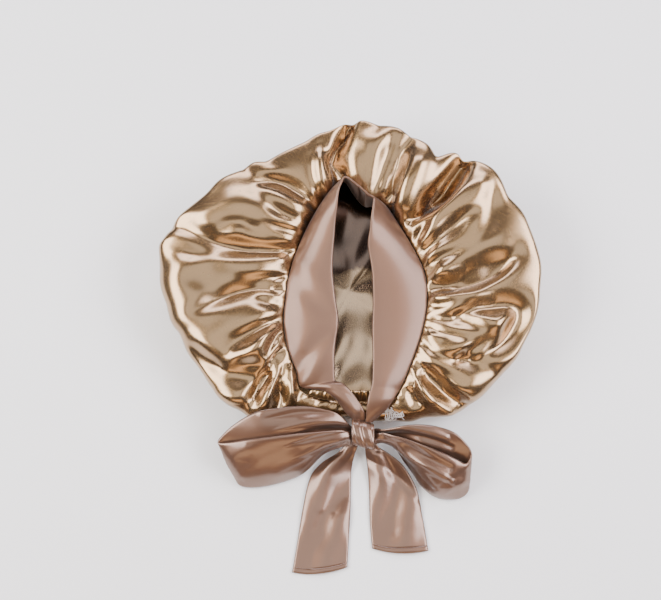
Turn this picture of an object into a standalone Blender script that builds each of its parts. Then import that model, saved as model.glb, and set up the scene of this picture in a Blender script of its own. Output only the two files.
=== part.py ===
# Satin sleep bonnet lying on its crown, opening up, wide tie band knotted in a bow at the nape.
# Frame: X to the right, Y from the nape to the forehead, Z up, floor at z = 0.
import math

import bpy

# Sizes in millimetres.
CROWN_HALF = 190.0
CROWN_FORWARD = 60.0
CROWN_WALL = 1.5
RIM_JOINT = 1.8
RIM_LOW = 15.0
RIM_HIGH = 50.0
BASE_SHARE = 0.80
PUFF_RISE = 20.0
SEAM_HALF_LENGTH = 170.0
SEAM_HEIGHT = 47.0
SEAM_GAP = 0.5
BAND_WIDTH = 56.0
BAND_WALL = 2.4
CASING_WIDTH = 15.0
CASING_WALL = 2.0
CASING_RUFFLE = 0.75
CASING_RUFFLE_TURN = 1.9
CASING_BULGE = 1.2
LOOP_WALL = 2.2
LOOP_HEIGHT = 46.0
LEFT_LOOP_REACH = 130.0
RIGHT_LOOP_REACH = 94.0
TAIL_WALL = 2.4
LEFT_TAIL_LENGTH = 127.5
RIGHT_TAIL_LENGTH = 108.0
HEM_SAG = 4.0
TAIL_TUCK = 0.08
TAIL_RIPPLES = 1.5
TAIL_RIPPLE_DRIFT = 4.0
KNOT_LENGTH = 24.0
KNOT_WIDTH = 21.0
KNOT_HEIGHT = 19.0
KNOT_CREASE = 0.05
KNOT_CREASES = 3.0
KNOT_CREASE_SWAY = 2.0
KNOT_PINCH = 0.16
KNOT_ROUNDNESS = 0.7
KNOT_UNDERSIDE = 0.48
KNOT_ACROSS = 13.0
KNOT_OUT = 32.0
KNOT_UP = 27.5
PIECE_GAP = 0.5
FLOOR_LIFT = 0.2

# How finely each piece is laid: stations along it, then lines across it.
BAND_STATIONS = 44
BAND_LINES = 4
CASING_STATIONS = 22
CASING_LINES = 3
LOOP_STEPS = 2
LOOP_LINES = 5
NECK_STEPS = 2
TAIL_STATIONS = 14
TAIL_LINES = 6
KNOT_RINGS = 12
KNOT_SIDES = 20

# Places between two creases of the crown where its surface is laid: 0.5 is the puff's top.
FOLD_STEPS = (0.0, 0.14, 0.32, 0.50, 0.68, 0.86)
FOLD_FULLNESS = 0.85

# Rings of the crown from the seam outwards.
# Columns: share of the way to the rim, fall, share of the inner rise, share of the outer rise.
CROWN_RINGS = (
    (0.00, 0.00, 0.00, 0.00),
    (0.05, 0.00, 0.22, 0.02),
    (0.12, 0.01, 0.45, 0.08),
    (0.24, 0.05, 0.52, 0.26),
    (0.42, 0.14, 0.42, 0.50),
    (0.64, 0.30, 0.22, 0.80),
    (0.84, 0.50, 0.07, 0.92),
    (0.96, 0.72, 0.02, 0.72),
    (1.00, 1.00, 0.00, 0.00),
)

# Rings of the crown's base from under the rim inwards. Columns: share of the rim's reach,
# share of the height where the base begins.
BASE_RINGS = (
    (1.000, 1.00),
    (0.950, 0.28),
    (BASE_SHARE, 0.0),
)

# One row a fold, clockwise from the nape seen from above.
# Columns: place along the seam, bearing at the rim, then for the crease its rim reach as a
# share of the crown half and its inner and outer rise as shares of the puff rise, then the
# same three for the puff that follows it.
CROWN_FOLDS = (
    (0.000, 0.0, 0.68, 0.00, 0.05, 0.69, 0.05, 0.10),
    (0.045, 15.0, 0.70, 0.00, 0.05, 0.74, 0.10, 0.15),
    (0.088, 27.0, 0.76, 0.00, 0.05, 0.83, 0.25, 0.30),
    (0.120, 33.0, 0.84, 0.10, 0.15, 0.87, 0.80, 0.60),
    (0.155, 40.0, 0.87, 0.05, 0.20, 0.90, 1.05, 0.85),
    (0.202, 63.0, 0.91, 0.05, 0.20, 0.92, 1.05, 0.85),
    (0.238, 73.0, 0.92, 0.25, 0.45, 0.95, 1.00, 0.90),
    (0.276, 83.0, 0.95, 0.10, 0.40, 0.99, 1.00, 0.95),
    (0.320, 101.0, 1.02, 0.10, 0.30, 0.98, 0.90, 1.00),
    (0.349, 113.0, 0.94, 0.30, 0.50, 0.87, 1.00, 1.00),
    (0.376, 136.0, 0.81, 0.05, 0.25, 0.81, 0.95, 0.85),
    (0.405, 145.0, 0.77, 0.10, 0.35, 0.77, 1.00, 0.80),
    (0.429, 163.0, 0.78, 0.30, 0.30, 0.81, 1.10, 0.75),
    (0.475, 178.0, 0.85, 0.10, 0.10, 0.87, 0.80, 0.85),
    (0.537, 191.0, 0.85, 0.30, 0.45, 0.86, 1.30, 0.90),
    (0.587, 202.0, 0.84, 0.15, 0.25, 0.84, 1.20, 0.85),
    (0.630, 215.0, 0.79, -0.15, -0.05, 0.89, 1.05, 0.85),
    (0.662, 225.0, 0.91, 0.30, 0.55, 0.96, 1.05, 1.05),
    (0.700, 242.0, 0.94, 0.15, 0.50, 0.98, 1.00, 1.00),
    (0.740, 260.0, 0.99, 0.05, 0.35, 1.00, 1.00, 0.95),
    (0.772, 272.0, 0.99, 0.15, 0.30, 0.99, 1.05, 0.95),
    (0.797, 285.0, 0.98, 0.15, 0.30, 0.96, 1.00, 0.90),
    (0.834, 300.0, 0.93, 0.10, 0.25, 0.91, 1.00, 0.80),
    (0.869, 316.0, 0.89, 0.00, 0.10, 0.88, 0.80, 0.60),
    (0.905, 326.0, 0.84, 0.05, 0.10, 0.79, 0.15, 0.25),
    (0.950, 341.0, 0.75, 0.00, 0.05, 0.72, 0.10, 0.15),
)

# The seam where crown meets band and casing, clockwise from the nape.
# Columns: place along the seam, across and forward as shares of the seam half length,
# height as a share of the seam height.
SEAM_ROWS = (
    (0.000, 0.03, -0.330, 0.57),
    (0.029, -0.07, -0.330, 0.57),
    (0.060, -0.18, -0.315, 0.62),
    (0.087, -0.27, -0.275, 0.72),
    (0.120, -0.31, -0.160, 0.83),
    (0.163, -0.36, -0.020, 0.94),
    (0.204, -0.38, 0.125, 0.98),
    (0.237, -0.37, 0.240, 1.00),
    (0.281, -0.35, 0.395, 1.00),
    (0.336, -0.29, 0.575, 0.98),
    (0.388, -0.21, 0.740, 0.96),
    (0.439, -0.11, 0.890, 0.92),
    (0.475, -0.03, 0.975, 0.87),
    (0.509, 0.03, 0.900, 0.81),
    (0.537, 0.09, 0.825, 0.81),
    (0.578, 0.20, 0.825, 0.89),
    (0.622, 0.29, 0.695, 0.98),
    (0.674, 0.38, 0.540, 1.00),
    (0.719, 0.44, 0.395, 1.00),
    (0.762, 0.45, 0.240, 1.00),
    (0.813, 0.42, 0.065, 0.98),
    (0.874, 0.35, -0.135, 0.92),
    (0.920, 0.275, -0.290, 0.81),
    (0.950, 0.20, -0.335, 0.66),
    (0.975, 0.12, -0.335, 0.60),
)

# How the band stands on the seam, from the left end over the forehead to the right end.
# Columns: place along the seam, heading and slope in degrees, width and bulge as shares
# of the band width. A slope over 90 leans outwards.
BAND_ROWS = (
    (0.087, 9.0, 15.0, 0.62, 0.05),
    (0.120, 4.0, 12.0, 0.70, 0.07),
    (0.163, 0.0, 8.0, 0.86, 0.09),
    (0.204, -2.0, 9.0, 0.98, 0.09),
    (0.237, 0.0, 11.0, 0.90, 0.11),
    (0.281, 3.0, 17.0, 0.81, 0.14),
    (0.336, 1.0, 29.0, 0.71, 0.14),
    (0.388, -4.0, 49.0, 0.64, 0.11),
    (0.439, -29.0, 74.0, 0.67, 0.05),
    (0.475, -90.0, 77.0, 0.79, 0.00),
    (0.509, -90.0, 87.0, 0.84, -0.03),
    (0.537, -101.0, 91.0, 0.83, -0.04),
    (0.578, -150.0, 73.0, 0.73, 0.03),
    (0.622, -168.0, 42.0, 0.71, 0.09),
    (0.674, -180.0, 22.0, 0.90, 0.12),
    (0.719, -181.0, 14.0, 0.98, 0.11),
    (0.762, -179.0, 11.0, 0.98, 0.09),
    (0.813, -179.0, 10.0, 0.90, 0.09),
    (0.874, -181.0, 12.0, 0.68, 0.07),
    (0.920, -186.0, 19.0, 0.49, 0.05),
)
BAND_LEFT_END = 0.092
BAND_RIGHT_END = 0.915

# Ends of the band between the panels and the knot: how far each edge leaves the straight way.
# Columns: share of the way, outer edge aside as shares of the band width, free edge aside, bulge.
LEFT_NECK = (
    (0.30, 0.11, 0.12, 0.14, -0.03, 0.14, 0.10, 0.07),
    (0.55, 0.11, 0.13, 0.16, 0.00, 0.12, 0.12, 0.07),
    (0.80, 0.06, 0.03, 0.13, 0.03, 0.03, 0.11, 0.05),
)
RIGHT_NECK = (
    (0.33, 0.05, -0.01, 0.07, -0.03, -0.01, 0.04, 0.05),
    (0.66, 0.07, 0.00, 0.05, -0.02, 0.00, 0.04, 0.05),
)
# Where the ends meet the knot. Columns: across, forward and up from the knot's middle as
# shares of the knot's width, length and height, outer edge then free edge.
LEFT_ROOT = (-0.36, -0.02, 0.06, 0.12, -0.04, 0.22)
RIGHT_ROOT = (0.40, -0.08, 0.16, 0.12, -0.11, 0.34)
ROOT_BULGE = 0.02

# Elastic casing at the nape, standing on the seam between the two ends of the band.
# Columns: place along the seam, heading and slope in degrees, width as a share of the casing width.
CASING_ROWS = (
    (-0.072, 120.0, 27.0, 0.73),
    (-0.050, 108.0, 36.0, 0.79),
    (-0.025, 96.0, 46.0, 0.92),
    (0.000, 90.0, 55.0, 1.00),
    (0.029, 84.0, 50.0, 0.95),
    (0.055, 70.0, 30.0, 0.68),
    (0.076, 60.0, 22.0, 0.50),
)

# Loops of the bow, from the knot along the front layer, round the end, back along the rear layer.
# Columns: for the lower edge its share of the reach, forward as a share of the band width and
# height as a share of the loop height, the same for the upper edge, then bulge.
LEFT_LOOP = (
    (0.000, -0.16, 0.43, 0.000, 0.02, 0.64, 0.02),
    (0.085, -0.21, 0.34, 0.076, 0.01, 0.80, 0.04),
    (0.215, -0.33, 0.24, 0.215, -0.01, 0.89, 0.07),
    (0.353, -0.63, 0.13, 0.384, -0.04, 0.93, 0.09),
    (0.492, -0.77, 0.02, 0.568, -0.09, 0.92, 0.11),
    (0.668, -0.87, 0.01, 0.745, -0.13, 0.84, 0.11),
    (0.799, -0.88, 0.01, 0.907, -0.17, 0.71, 0.07),
    (0.853, -0.82, 0.05, 0.995, -0.16, 0.63, 0.02),
    (0.838, -0.70, 0.07, 0.980, -0.07, 0.67, 0.00),
    (0.768, -0.57, 0.06, 0.876, 0.13, 0.82, -0.04),
    (0.630, -0.46, 0.08, 0.722, 0.32, 0.94, -0.05),
    (0.492, -0.36, 0.12, 0.538, 0.39, 0.98, -0.05),
    (0.338, -0.23, 0.19, 0.353, 0.42, 0.98, -0.04),
    (0.199, -0.13, 0.27, 0.215, 0.38, 0.95, -0.02),
    (0.084, -0.07, 0.36, 0.099, 0.30, 0.86, 0.00),
    (0.000, -0.05, 0.39, 0.000, 0.12, 0.59, 0.00),
)
RIGHT_LOOP = (
    (0.000, -0.16, 0.40, 0.000, 0.00, 0.59, 0.02),
    (0.105, -0.12, 0.27, 0.095, -0.01, 0.69, 0.04),
    (0.233, -0.21, 0.12, 0.265, -0.11, 0.81, 0.05),
    (0.361, -0.50, 0.04, 0.510, -0.24, 0.84, 0.07),
    (0.499, -0.86, 0.01, 0.712, -0.37, 0.80, 0.09),
    (0.659, -1.06, 0.01, 0.850, -0.47, 0.73, 0.09),
    (0.850, -1.09, 0.02, 0.940, -0.53, 0.65, 0.05),
    (0.955, -1.02, 0.08, 0.990, -0.44, 0.65, 0.03),
    (0.985, -0.90, 0.13, 0.998, -0.32, 0.69, 0.01),
    (0.950, -0.78, 0.11, 0.950, -0.20, 0.75, -0.02),
    (0.871, -0.68, 0.08, 0.829, -0.02, 0.84, -0.04),
    (0.701, -0.54, 0.08, 0.659, 0.08, 0.88, -0.05),
    (0.510, -0.38, 0.10, 0.488, 0.12, 0.88, -0.05),
    (0.318, -0.16, 0.17, 0.318, 0.12, 0.83, -0.04),
    (0.148, -0.08, 0.27, 0.159, 0.09, 0.72, -0.02),
    (0.063, -0.06, 0.34, 0.063, 0.08, 0.62, 0.00),
    (0.000, -0.05, 0.37, 0.000, 0.09, 0.56, 0.00),
)

# Tails of the bow from the knot to the hem.
# Columns: share of the tail length, left and right edge across as shares of the band width,
# their heights as shares of the drop from the knot, ripple and slant as shares of the width.
LEFT_TAIL = (
    (0.00, -0.21, -0.04, 1.00, 1.00, 0.00, 0.00),
    (0.07, -0.34, -0.09, 0.76, 0.79, 0.02, 0.00),
    (0.12, -0.48, -0.13, 0.42, 0.55, 0.04, 0.00),
    (0.18, -0.71, -0.17, 0.18, 0.32, 0.05, 0.00),
    (0.28, -0.91, -0.20, 0.02, 0.09, 0.06, 0.00),
    (0.53, -1.05, -0.21, 0.00, 0.01, 0.06, 0.00),
    (0.77, -1.14, -0.24, 0.00, 0.01, 0.05, -0.04),
    (1.00, -1.23, -0.27, 0.00, 0.00, 0.02, -0.09),
)
RIGHT_TAIL = (
    (0.00, 0.02, 0.20, 0.99, 0.97, 0.00, 0.00),
    (0.08, 0.04, 0.28, 0.76, 0.86, 0.02, 0.00),
    (0.14, 0.05, 0.45, 0.52, 0.78, 0.05, 0.00),
    (0.24, 0.08, 0.69, 0.25, 0.58, 0.08, 0.00),
    (0.45, 0.11, 0.94, 0.01, 0.20, 0.08, 0.00),
    (0.71, 0.12, 1.05, 0.00, 0.00, 0.07, 0.00),
    (0.87, 0.14, 1.10, 0.00, 0.00, 0.05, 0.00),
    (1.00, 0.16, 1.14, 0.00, 0.00, 0.03, 0.04),
)

# Colours: linear red, green, blue, then metallic and roughness.
CHAMPAGNE = (0.52, 0.38, 0.24, 0.55, 0.28)
TAUPE = (0.40, 0.25, 0.19, 0.35, 0.38)


def clear_scene():
    for item in list(bpy.data.objects):
        bpy.data.objects.remove(item, do_unlink=True)


def mix(a, b, t):
    return a + (b - a) * t


def along(rows, place):
    # Smooth reading of a table whose first column grows.
    last = len(rows) - 1
    if place <= rows[0][0]:
        return list(rows[0][1:])
    if place >= rows[last][0]:
        return list(rows[last][1:])
    k = 0
    while rows[k + 1][0] < place:
        k += 1
    before = rows[max(k - 1, 0)]
    left = rows[k]
    right = rows[k + 1]
    after = rows[min(k + 2, last)]
    span = right[0] - left[0]
    t = (place - left[0]) / span
    values = []
    for c in range(1, len(left)):
        slope_a = (right[c] - before[c]) / max(right[0] - before[0], 1e-6) * span
        slope_b = (after[c] - left[c]) / max(after[0] - left[0], 1e-6) * span
        h1 = 2 * t ** 3 - 3 * t ** 2 + 1
        h2 = t ** 3 - 2 * t ** 2 + t
        h3 = 3 * t ** 2 - 2 * t ** 3
        h4 = t ** 3 - t ** 2
        values.append(h1 * left[c] + h2 * slope_a + h3 * right[c] + h4 * slope_b)
    return values


def round_table(rows):
    # Repeats the first and last rows so that a closed table reads smoothly over its start.
    head = [(row[0] - 1.0,) + tuple(row[1:]) for row in rows[-3:]]
    tail = [(row[0] + 1.0,) + tuple(row[1:]) for row in rows[:3]]
    return head + [tuple(row) for row in rows] + tail


SEAM_TABLE = round_table(SEAM_ROWS)


def seam_point(place):
    across, forward, height = along(SEAM_TABLE, place % 1.0)
    return (across * SEAM_HALF_LENGTH, forward * SEAM_HALF_LENGTH, height * SEAM_HEIGHT)


def direction(heading, slope):
    flat = math.cos(math.radians(slope))
    turn = math.radians(heading)
    return (math.cos(turn) * flat, math.sin(turn) * flat, math.sin(math.radians(slope)))


def strip_direction(place):
    # Which way the band or the casing stands on the seam.
    place = place % 1.0
    if BAND_LEFT_END <= place <= BAND_RIGHT_END:
        heading, slope = along(BAND_ROWS, place)[0:2]
    else:
        heading, slope = along(CASING_ROWS, place - 1.0 if place > 0.5 else place)[0:2]
    return direction(heading, slope)


def offset(point, way, length):
    return tuple(point[i] + way[i] * length for i in range(3))


def band_section(place):
    heading, slope, width, bulge = along(BAND_ROWS, place)
    outer = seam_point(place)
    inner = offset(outer, direction(heading, slope), width * BAND_WIDTH)
    return list(outer) + list(inner) + [bulge * BAND_WIDTH]


def knot_middle():
    nape = seam_point(0.0)
    return (KNOT_ACROSS, nape[1] - KNOT_OUT, KNOT_UP)


def crown_column(fold, step):
    # One line of the crown from the seam to the rim: a crease at step 0, a puff at step 0.5.
    row = CROWN_FOLDS[fold]
    following = list(CROWN_FOLDS[(fold + 1) % len(CROWN_FOLDS)])
    if fold == len(CROWN_FOLDS) - 1:
        following[0] += 1.0
        following[1] += 360.0
    if step <= 0.5:
        crease = row
        share = math.sin(math.pi * step) ** FOLD_FULLNESS
    else:
        crease = following
        share = math.sin(math.pi * (1.0 - step)) ** FOLD_FULLNESS
    place = mix(row[0], following[0], step)
    bearing = math.radians(mix(row[1], following[1], step))
    reach = mix(crease[2], row[5], share) * CROWN_HALF
    inner = mix(crease[3], row[6], share) * PUFF_RISE
    outer = mix(crease[4], row[7], share) * PUFF_RISE
    return place, bearing, reach, inner, outer


def crown_start(place, away_x, away_y):
    # The crown begins a gap past the edge of the strip that stands on the seam, and beside
    # the strip's face where the strip stands upright.
    side = strip_direction(place)
    length = math.hypot(away_x, away_y)
    beside = (BAND_WALL / 2.0 + SEAM_GAP) * side[2] ** 2
    start = offset(seam_point(place), side, -SEAM_GAP - CROWN_WALL / 4.0)
    return offset(start, (away_x / length, away_y / length, 0.0), beside)


def crown_columns():
    return [crown_column(fold, step) for fold in range(len(CROWN_FOLDS)) for step in FOLD_STEPS]


def rim_point(bearing, reach):
    height = RIM_LOW + (RIM_HIGH - RIM_LOW) * math.sin(bearing / 2.0) ** 2
    return (-math.sin(bearing) * reach, CROWN_FORWARD - math.cos(bearing) * reach, height)


def ring_faces(ring_count, count):
    faces = []
    for r in range(ring_count - 1):
        for c in range(count):
            d = (c + 1) % count
            faces.append((r * count + c, r * count + d, (r + 1) * count + d, (r + 1) * count + c))
    return faces


def build_crown():
    # The gathered top of the crown, from the seam over the puffs to the rim.
    points = []
    columns = crown_columns()
    for way, fall, inner_share, outer_share in CROWN_RINGS:
        for place, bearing, reach, inner, outer in columns:
            seam = seam_point(place)
            rim = rim_point(bearing, reach)
            start = crown_start(place, rim[0] - seam[0], rim[1] - seam[1])
            x = mix(start[0], rim[0], way)
            y = mix(start[1], rim[1], way)
            z = mix(start[2], rim[2], fall) + inner * inner_share + outer * outer_share
            points.append((x, y, z))
    return points, ring_faces(len(CROWN_RINGS), len(columns))


def build_crown_base():
    # The part of the crown that the bonnet lies on, from under the rim to the flat middle.
    points = []
    columns = crown_columns()
    for share, height in BASE_RINGS:
        for place, bearing, reach, inner, outer in columns:
            rim = rim_point(bearing, reach)
            top = rim[2] - CROWN_WALL - RIM_JOINT
            points.append((rim[0] * share, mix(CROWN_FORWARD, rim[1], share), top * height))
    faces = ring_faces(len(BASE_RINGS), len(columns))
    last = (len(BASE_RINGS) - 1) * len(columns)
    centre = len(points)
    points.append((0.0, CROWN_FORWARD, 0.0))
    for c in range(len(columns)):
        faces.append((last + c, last + (c + 1) % len(columns), centre))
    return points, faces


def strip_points(sections, across_count):
    # Lays a strip over sections of two edges and a bulge that lifts its middle.
    points = []
    for edge_a, edge_b, bulge in sections:
        side = [edge_b[i] - edge_a[i] for i in range(3)]
        flat = math.hypot(side[0], side[1])
        length = max(math.hypot(flat, side[2]), 1e-6)
        if flat < 1e-6:
            lift = (0.0, 0.0, 1.0)
        else:
            lift = (-side[0] / flat * side[2] / length, -side[1] / flat * side[2] / length, flat / length)
        for k in range(across_count + 1):
            t = k / across_count
            rise = 4.0 * t * (1.0 - t) * bulge
            points.append(tuple(mix(edge_a[i], edge_b[i], t) + lift[i] * rise for i in range(3)))
    return points


def strip_faces(section_count, across_count, flip=False):
    faces = []
    row = across_count + 1
    for s in range(section_count - 1):
        for k in range(across_count):
            face = (s * row + k, (s + 1) * row + k, (s + 1) * row + k + 1, s * row + k + 1)
            faces.append(tuple(reversed(face)) if flip else face)
    return faces


def smooth_sections(rows, steps):
    # Puts smooth stations between the rows of a loop or neck table.
    table = [(float(k),) + tuple(row) for k, row in enumerate(rows)]
    total = (len(rows) - 1) * steps
    return [along(table, k / steps) for k in range(total + 1)]


def strip(rows, across_count, steps, flip=False):
    stations = []
    for row in smooth_sections(rows, steps):
        stations.append((row[0:3], row[3:6], row[6]))
    return strip_points(stations, across_count), strip_faces(len(stations), across_count, flip)


def neck_rows(panel, root, rows):
    # Sections between a panel's end and the knot, moved aside from the straight way.
    sections = []
    for row in rows:
        section = []
        for i in range(6):
            section.append(mix(panel[i], root[i], row[0]) + row[1 + i] * BAND_WIDTH)
        sections.append(section + [row[7] * BAND_WIDTH])
    return sections


def neck_root(shares):
    # The end of the band lies against the far side of the knot, a gap away from it.
    middle = knot_middle()
    lie = KNOT_LENGTH / 2.0 + PIECE_GAP
    section = []
    for across, back, up in (shares[0:3], shares[3:6]):
        section.append(middle[0] + across * KNOT_WIDTH)
        section.append(middle[1] + lie + back * KNOT_LENGTH)
        section.append(middle[2] + up * KNOT_HEIGHT)
    return section + [ROOT_BULGE * BAND_WIDTH]


def build_band():
    left_panel = band_section(BAND_LEFT_END)
    right_panel = band_section(BAND_RIGHT_END)
    left_root = neck_root(LEFT_ROOT)
    right_root = neck_root(RIGHT_ROOT)
    left_neck = neck_rows(left_panel, left_root, LEFT_NECK)
    right_neck = neck_rows(right_panel, right_root, RIGHT_NECK)
    left_neck.reverse()
    sections = smooth_sections([left_root] + left_neck + [left_panel], NECK_STEPS)[:-1]
    for k in range(BAND_STATIONS + 1):
        sections.append(band_section(mix(BAND_LEFT_END, BAND_RIGHT_END, k / BAND_STATIONS)))
    sections += smooth_sections([right_panel] + right_neck + [right_root], NECK_STEPS)[1:]
    return strip(sections, BAND_LINES, 1)


def build_casing():
    sections = []
    for k in range(CASING_STATIONS + 1):
        place = mix(CASING_ROWS[0][0], CASING_ROWS[-1][0], k / CASING_STATIONS)
        heading, slope, width = along(CASING_ROWS, place)
        lower = seam_point(place)
        upper = offset(lower, direction(heading, slope), width * CASING_WIDTH)
        ruffle = CASING_RUFFLE * math.sin(k * CASING_RUFFLE_TURN)
        upper = (upper[0], upper[1] + ruffle, upper[2])
        sections.append(list(lower) + list(upper) + [CASING_BULGE])
    return strip(sections, CASING_LINES, 1)


def build_loop(rows, reach, side):
    # side is -1 for the loop on the left of the knot and 1 for the one on the right.
    middle = knot_middle()
    root = middle[0] + side * (KNOT_WIDTH / 2.0 + PIECE_GAP + LOOP_WALL / 6.0)
    low = LOOP_WALL / 2.0 + FLOOR_LIFT
    sections = []
    for row in rows:
        section = []
        for k in (0, 3):
            section.append(root + side * row[k] * reach)
            section.append(middle[1] + row[k + 1] * BAND_WIDTH)
            section.append(low + row[k + 2] * LOOP_HEIGHT)
        sections.append(section + [row[6] * BAND_WIDTH])
    return strip(sections, LOOP_LINES, LOOP_STEPS, side > 0)


def build_tail(rows, length):
    # A tail leaves the knot from under it and comes down to lie on the floor.
    middle = knot_middle()
    start_y = middle[1] - TAIL_TUCK * KNOT_LENGTH
    low = TAIL_WALL / 2.0 + FLOOR_LIFT
    drop = middle[2] - KNOT_HEIGHT * KNOT_UNDERSIDE - PIECE_GAP - TAIL_WALL / 2.0 - low
    points = []
    for k in range(TAIL_STATIONS + 1):
        share = k / TAIL_STATIONS
        left, right, left_up, right_up, ripple, slant = along(rows, share)
        for c in range(TAIL_LINES + 1):
            t = c / TAIL_LINES
            x = middle[0] + mix(left, right, t) * BAND_WIDTH
            y = start_y - share * length + slant * (0.5 - t) * BAND_WIDTH
            y -= HEM_SAG * 4.0 * t * (1.0 - t) * share
            turn = 2.0 * math.pi * t * TAIL_RIPPLES + share * TAIL_RIPPLE_DRIFT
            wave = 0.5 - 0.5 * math.cos(turn)
            z = low + mix(left_up, right_up, t) * drop
            z += ripple * BAND_WIDTH * wave * math.sin(math.pi * t)
            points.append((x, y, z))
    return points, strip_faces(TAIL_STATIONS + 1, TAIL_LINES)


def build_knot():
    # A wrap bunched round the middle of the bow, puffed in its middle and creased along it.
    middle = knot_middle()
    points = []
    faces = []
    for r in range(KNOT_RINGS + 1):
        t = r / KNOT_RINGS
        swell = math.sin(math.pi * mix(KNOT_PINCH, 1.0 - KNOT_PINCH, t)) ** KNOT_ROUNDNESS
        x = (t - 0.5) * KNOT_WIDTH
        for s in range(KNOT_SIDES):
            angle = 2.0 * math.pi * s / KNOT_SIDES
            phase = KNOT_CREASES * math.pi * t + KNOT_CREASE_SWAY * math.sin(angle)
            crease = 1.0 - KNOT_CREASE * math.sin(phase) ** 2
            y = math.cos(angle) * KNOT_LENGTH / 2.0 * swell * crease
            z = math.sin(angle) * KNOT_HEIGHT / 2.0 * swell * crease
            points.append((middle[0] + x, middle[1] + y, middle[2] + z))
    for r in range(KNOT_RINGS):
        low = r * KNOT_SIDES
        high = low + KNOT_SIDES
        for s in range(KNOT_SIDES):
            d = (s + 1) % KNOT_SIDES
            faces.append((low + s, low + d, high + d, high + s))
    for end, flip in ((0, True), (KNOT_RINGS, False)):
        cap = tuple(end * KNOT_SIDES + s for s in range(KNOT_SIDES))
        faces.append(tuple(reversed(cap)) if flip else cap)
    return points, faces


def cloth_material(name, look):
    material = bpy.data.materials.new(name)
    material.use_nodes = True
    shader = material.node_tree.nodes["Principled BSDF"]
    shader.inputs["Base Color"].default_value = (look[0], look[1], look[2], 1.0)
    shader.inputs["Metallic"].default_value = look[3]
    shader.inputs["Roughness"].default_value = look[4]
    return material


def add_piece(collection, name, shape, look, wall=0.0, side=0.0):
    points, faces = shape
    mesh = bpy.data.meshes.new(name)
    placed = [(x / 1000.0, y / 1000.0, z / 1000.0) for x, y, z in points]
    mesh.from_pydata(placed, [], faces)
    mesh.update()
    mesh.materials.append(cloth_material(name + "_satin", look))
    piece = bpy.data.objects.new(name, mesh)
    collection.objects.link(piece)
    mesh.shade_smooth()
    if wall > 0.0:
        thick = piece.modifiers.new("wall", "SOLIDIFY")
        thick.thickness = wall / 1000.0
        thick.offset = side
        thick.use_even_offset = side != 0.0
    return piece


def centre_on_floor(collection):
    # Puts the middle of the whole outline over the origin, with the underside at z = 0.
    bpy.context.view_layer.update()
    seen = bpy.context.evaluated_depsgraph_get()
    corners = []
    for piece in collection.objects:
        solid = piece.evaluated_get(seen)
        corners += [solid.matrix_world @ vertex.co for vertex in solid.data.vertices]
    low = [min(corner[i] for corner in corners) for i in range(3)]
    high = [max(corner[i] for corner in corners) for i in range(3)]
    for piece in collection.objects:
        piece.location.x -= (low[0] + high[0]) / 2.0
        piece.location.y -= (low[1] + high[1]) / 2.0
        piece.location.z -= low[2]


def main():
    clear_scene()
    collection = bpy.data.collections.new("silk_hair_wrap")
    bpy.context.scene.collection.children.link(collection)
    left_loop = build_loop(LEFT_LOOP, LEFT_LOOP_REACH, -1)
    right_loop = build_loop(RIGHT_LOOP, RIGHT_LOOP_REACH, 1)
    left_tail = build_tail(LEFT_TAIL, LEFT_TAIL_LENGTH)
    right_tail = build_tail(RIGHT_TAIL, RIGHT_TAIL_LENGTH)
    add_piece(collection, "crown", build_crown(), CHAMPAGNE, CROWN_WALL, -1.0)
    add_piece(collection, "crown_base", build_crown_base(), CHAMPAGNE, CROWN_WALL, -1.0)
    add_piece(collection, "band", build_band(), TAUPE, BAND_WALL, 0.0)
    add_piece(collection, "nape_casing", build_casing(), CHAMPAGNE, CASING_WALL, 0.0)
    add_piece(collection, "bow_loop_left", left_loop, TAUPE, LOOP_WALL, 0.0)
    add_piece(collection, "bow_loop_right", right_loop, TAUPE, LOOP_WALL, 0.0)
    add_piece(collection, "bow_tail_left", left_tail, TAUPE, TAIL_WALL, 0.0)
    add_piece(collection, "bow_tail_right", right_tail, TAUPE, TAIL_WALL, 0.0)
    add_piece(collection, "bow_knot", build_knot(), TAUPE)
    centre_on_floor(collection)


main()
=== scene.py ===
# Looks of the satin sleep bonnet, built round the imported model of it.
# Shapes are worked out in millimetres in part.py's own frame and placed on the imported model.
import math

import bpy
import numpy as np
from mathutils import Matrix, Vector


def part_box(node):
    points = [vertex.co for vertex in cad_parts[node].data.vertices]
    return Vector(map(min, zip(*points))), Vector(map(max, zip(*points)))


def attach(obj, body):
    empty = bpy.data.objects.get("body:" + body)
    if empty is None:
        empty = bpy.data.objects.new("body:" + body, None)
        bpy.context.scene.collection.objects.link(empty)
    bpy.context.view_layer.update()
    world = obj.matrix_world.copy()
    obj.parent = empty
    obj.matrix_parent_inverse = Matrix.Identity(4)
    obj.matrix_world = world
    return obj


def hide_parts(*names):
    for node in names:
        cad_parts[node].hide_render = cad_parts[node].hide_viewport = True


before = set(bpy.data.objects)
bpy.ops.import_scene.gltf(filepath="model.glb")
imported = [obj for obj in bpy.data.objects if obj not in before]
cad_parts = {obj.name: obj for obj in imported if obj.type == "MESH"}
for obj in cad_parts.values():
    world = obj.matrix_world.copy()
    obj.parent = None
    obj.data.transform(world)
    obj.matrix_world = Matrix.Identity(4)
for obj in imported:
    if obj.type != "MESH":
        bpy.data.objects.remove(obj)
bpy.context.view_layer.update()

# Sizes in millimetres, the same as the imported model's.
CROWN_HALF = 190.0
CROWN_FORWARD = 60.0
CROWN_WALL = 1.5
RIM_LOW = 15.0
RIM_HIGH = 50.0
PUFF_RISE = 20.0
SEAM_HALF_LENGTH = 170.0
SEAM_HEIGHT = 47.0
SEAM_GAP = 0.5
BAND_WIDTH = 56.0
BAND_WALL = 2.4
CASING_WIDTH = 15.0
CASING_WALL = 2.0
LOOP_WALL = 2.2
LOOP_HEIGHT = 46.0
LEFT_LOOP_REACH = 130.0
RIGHT_LOOP_REACH = 94.0
TAIL_WALL = 2.4
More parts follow.
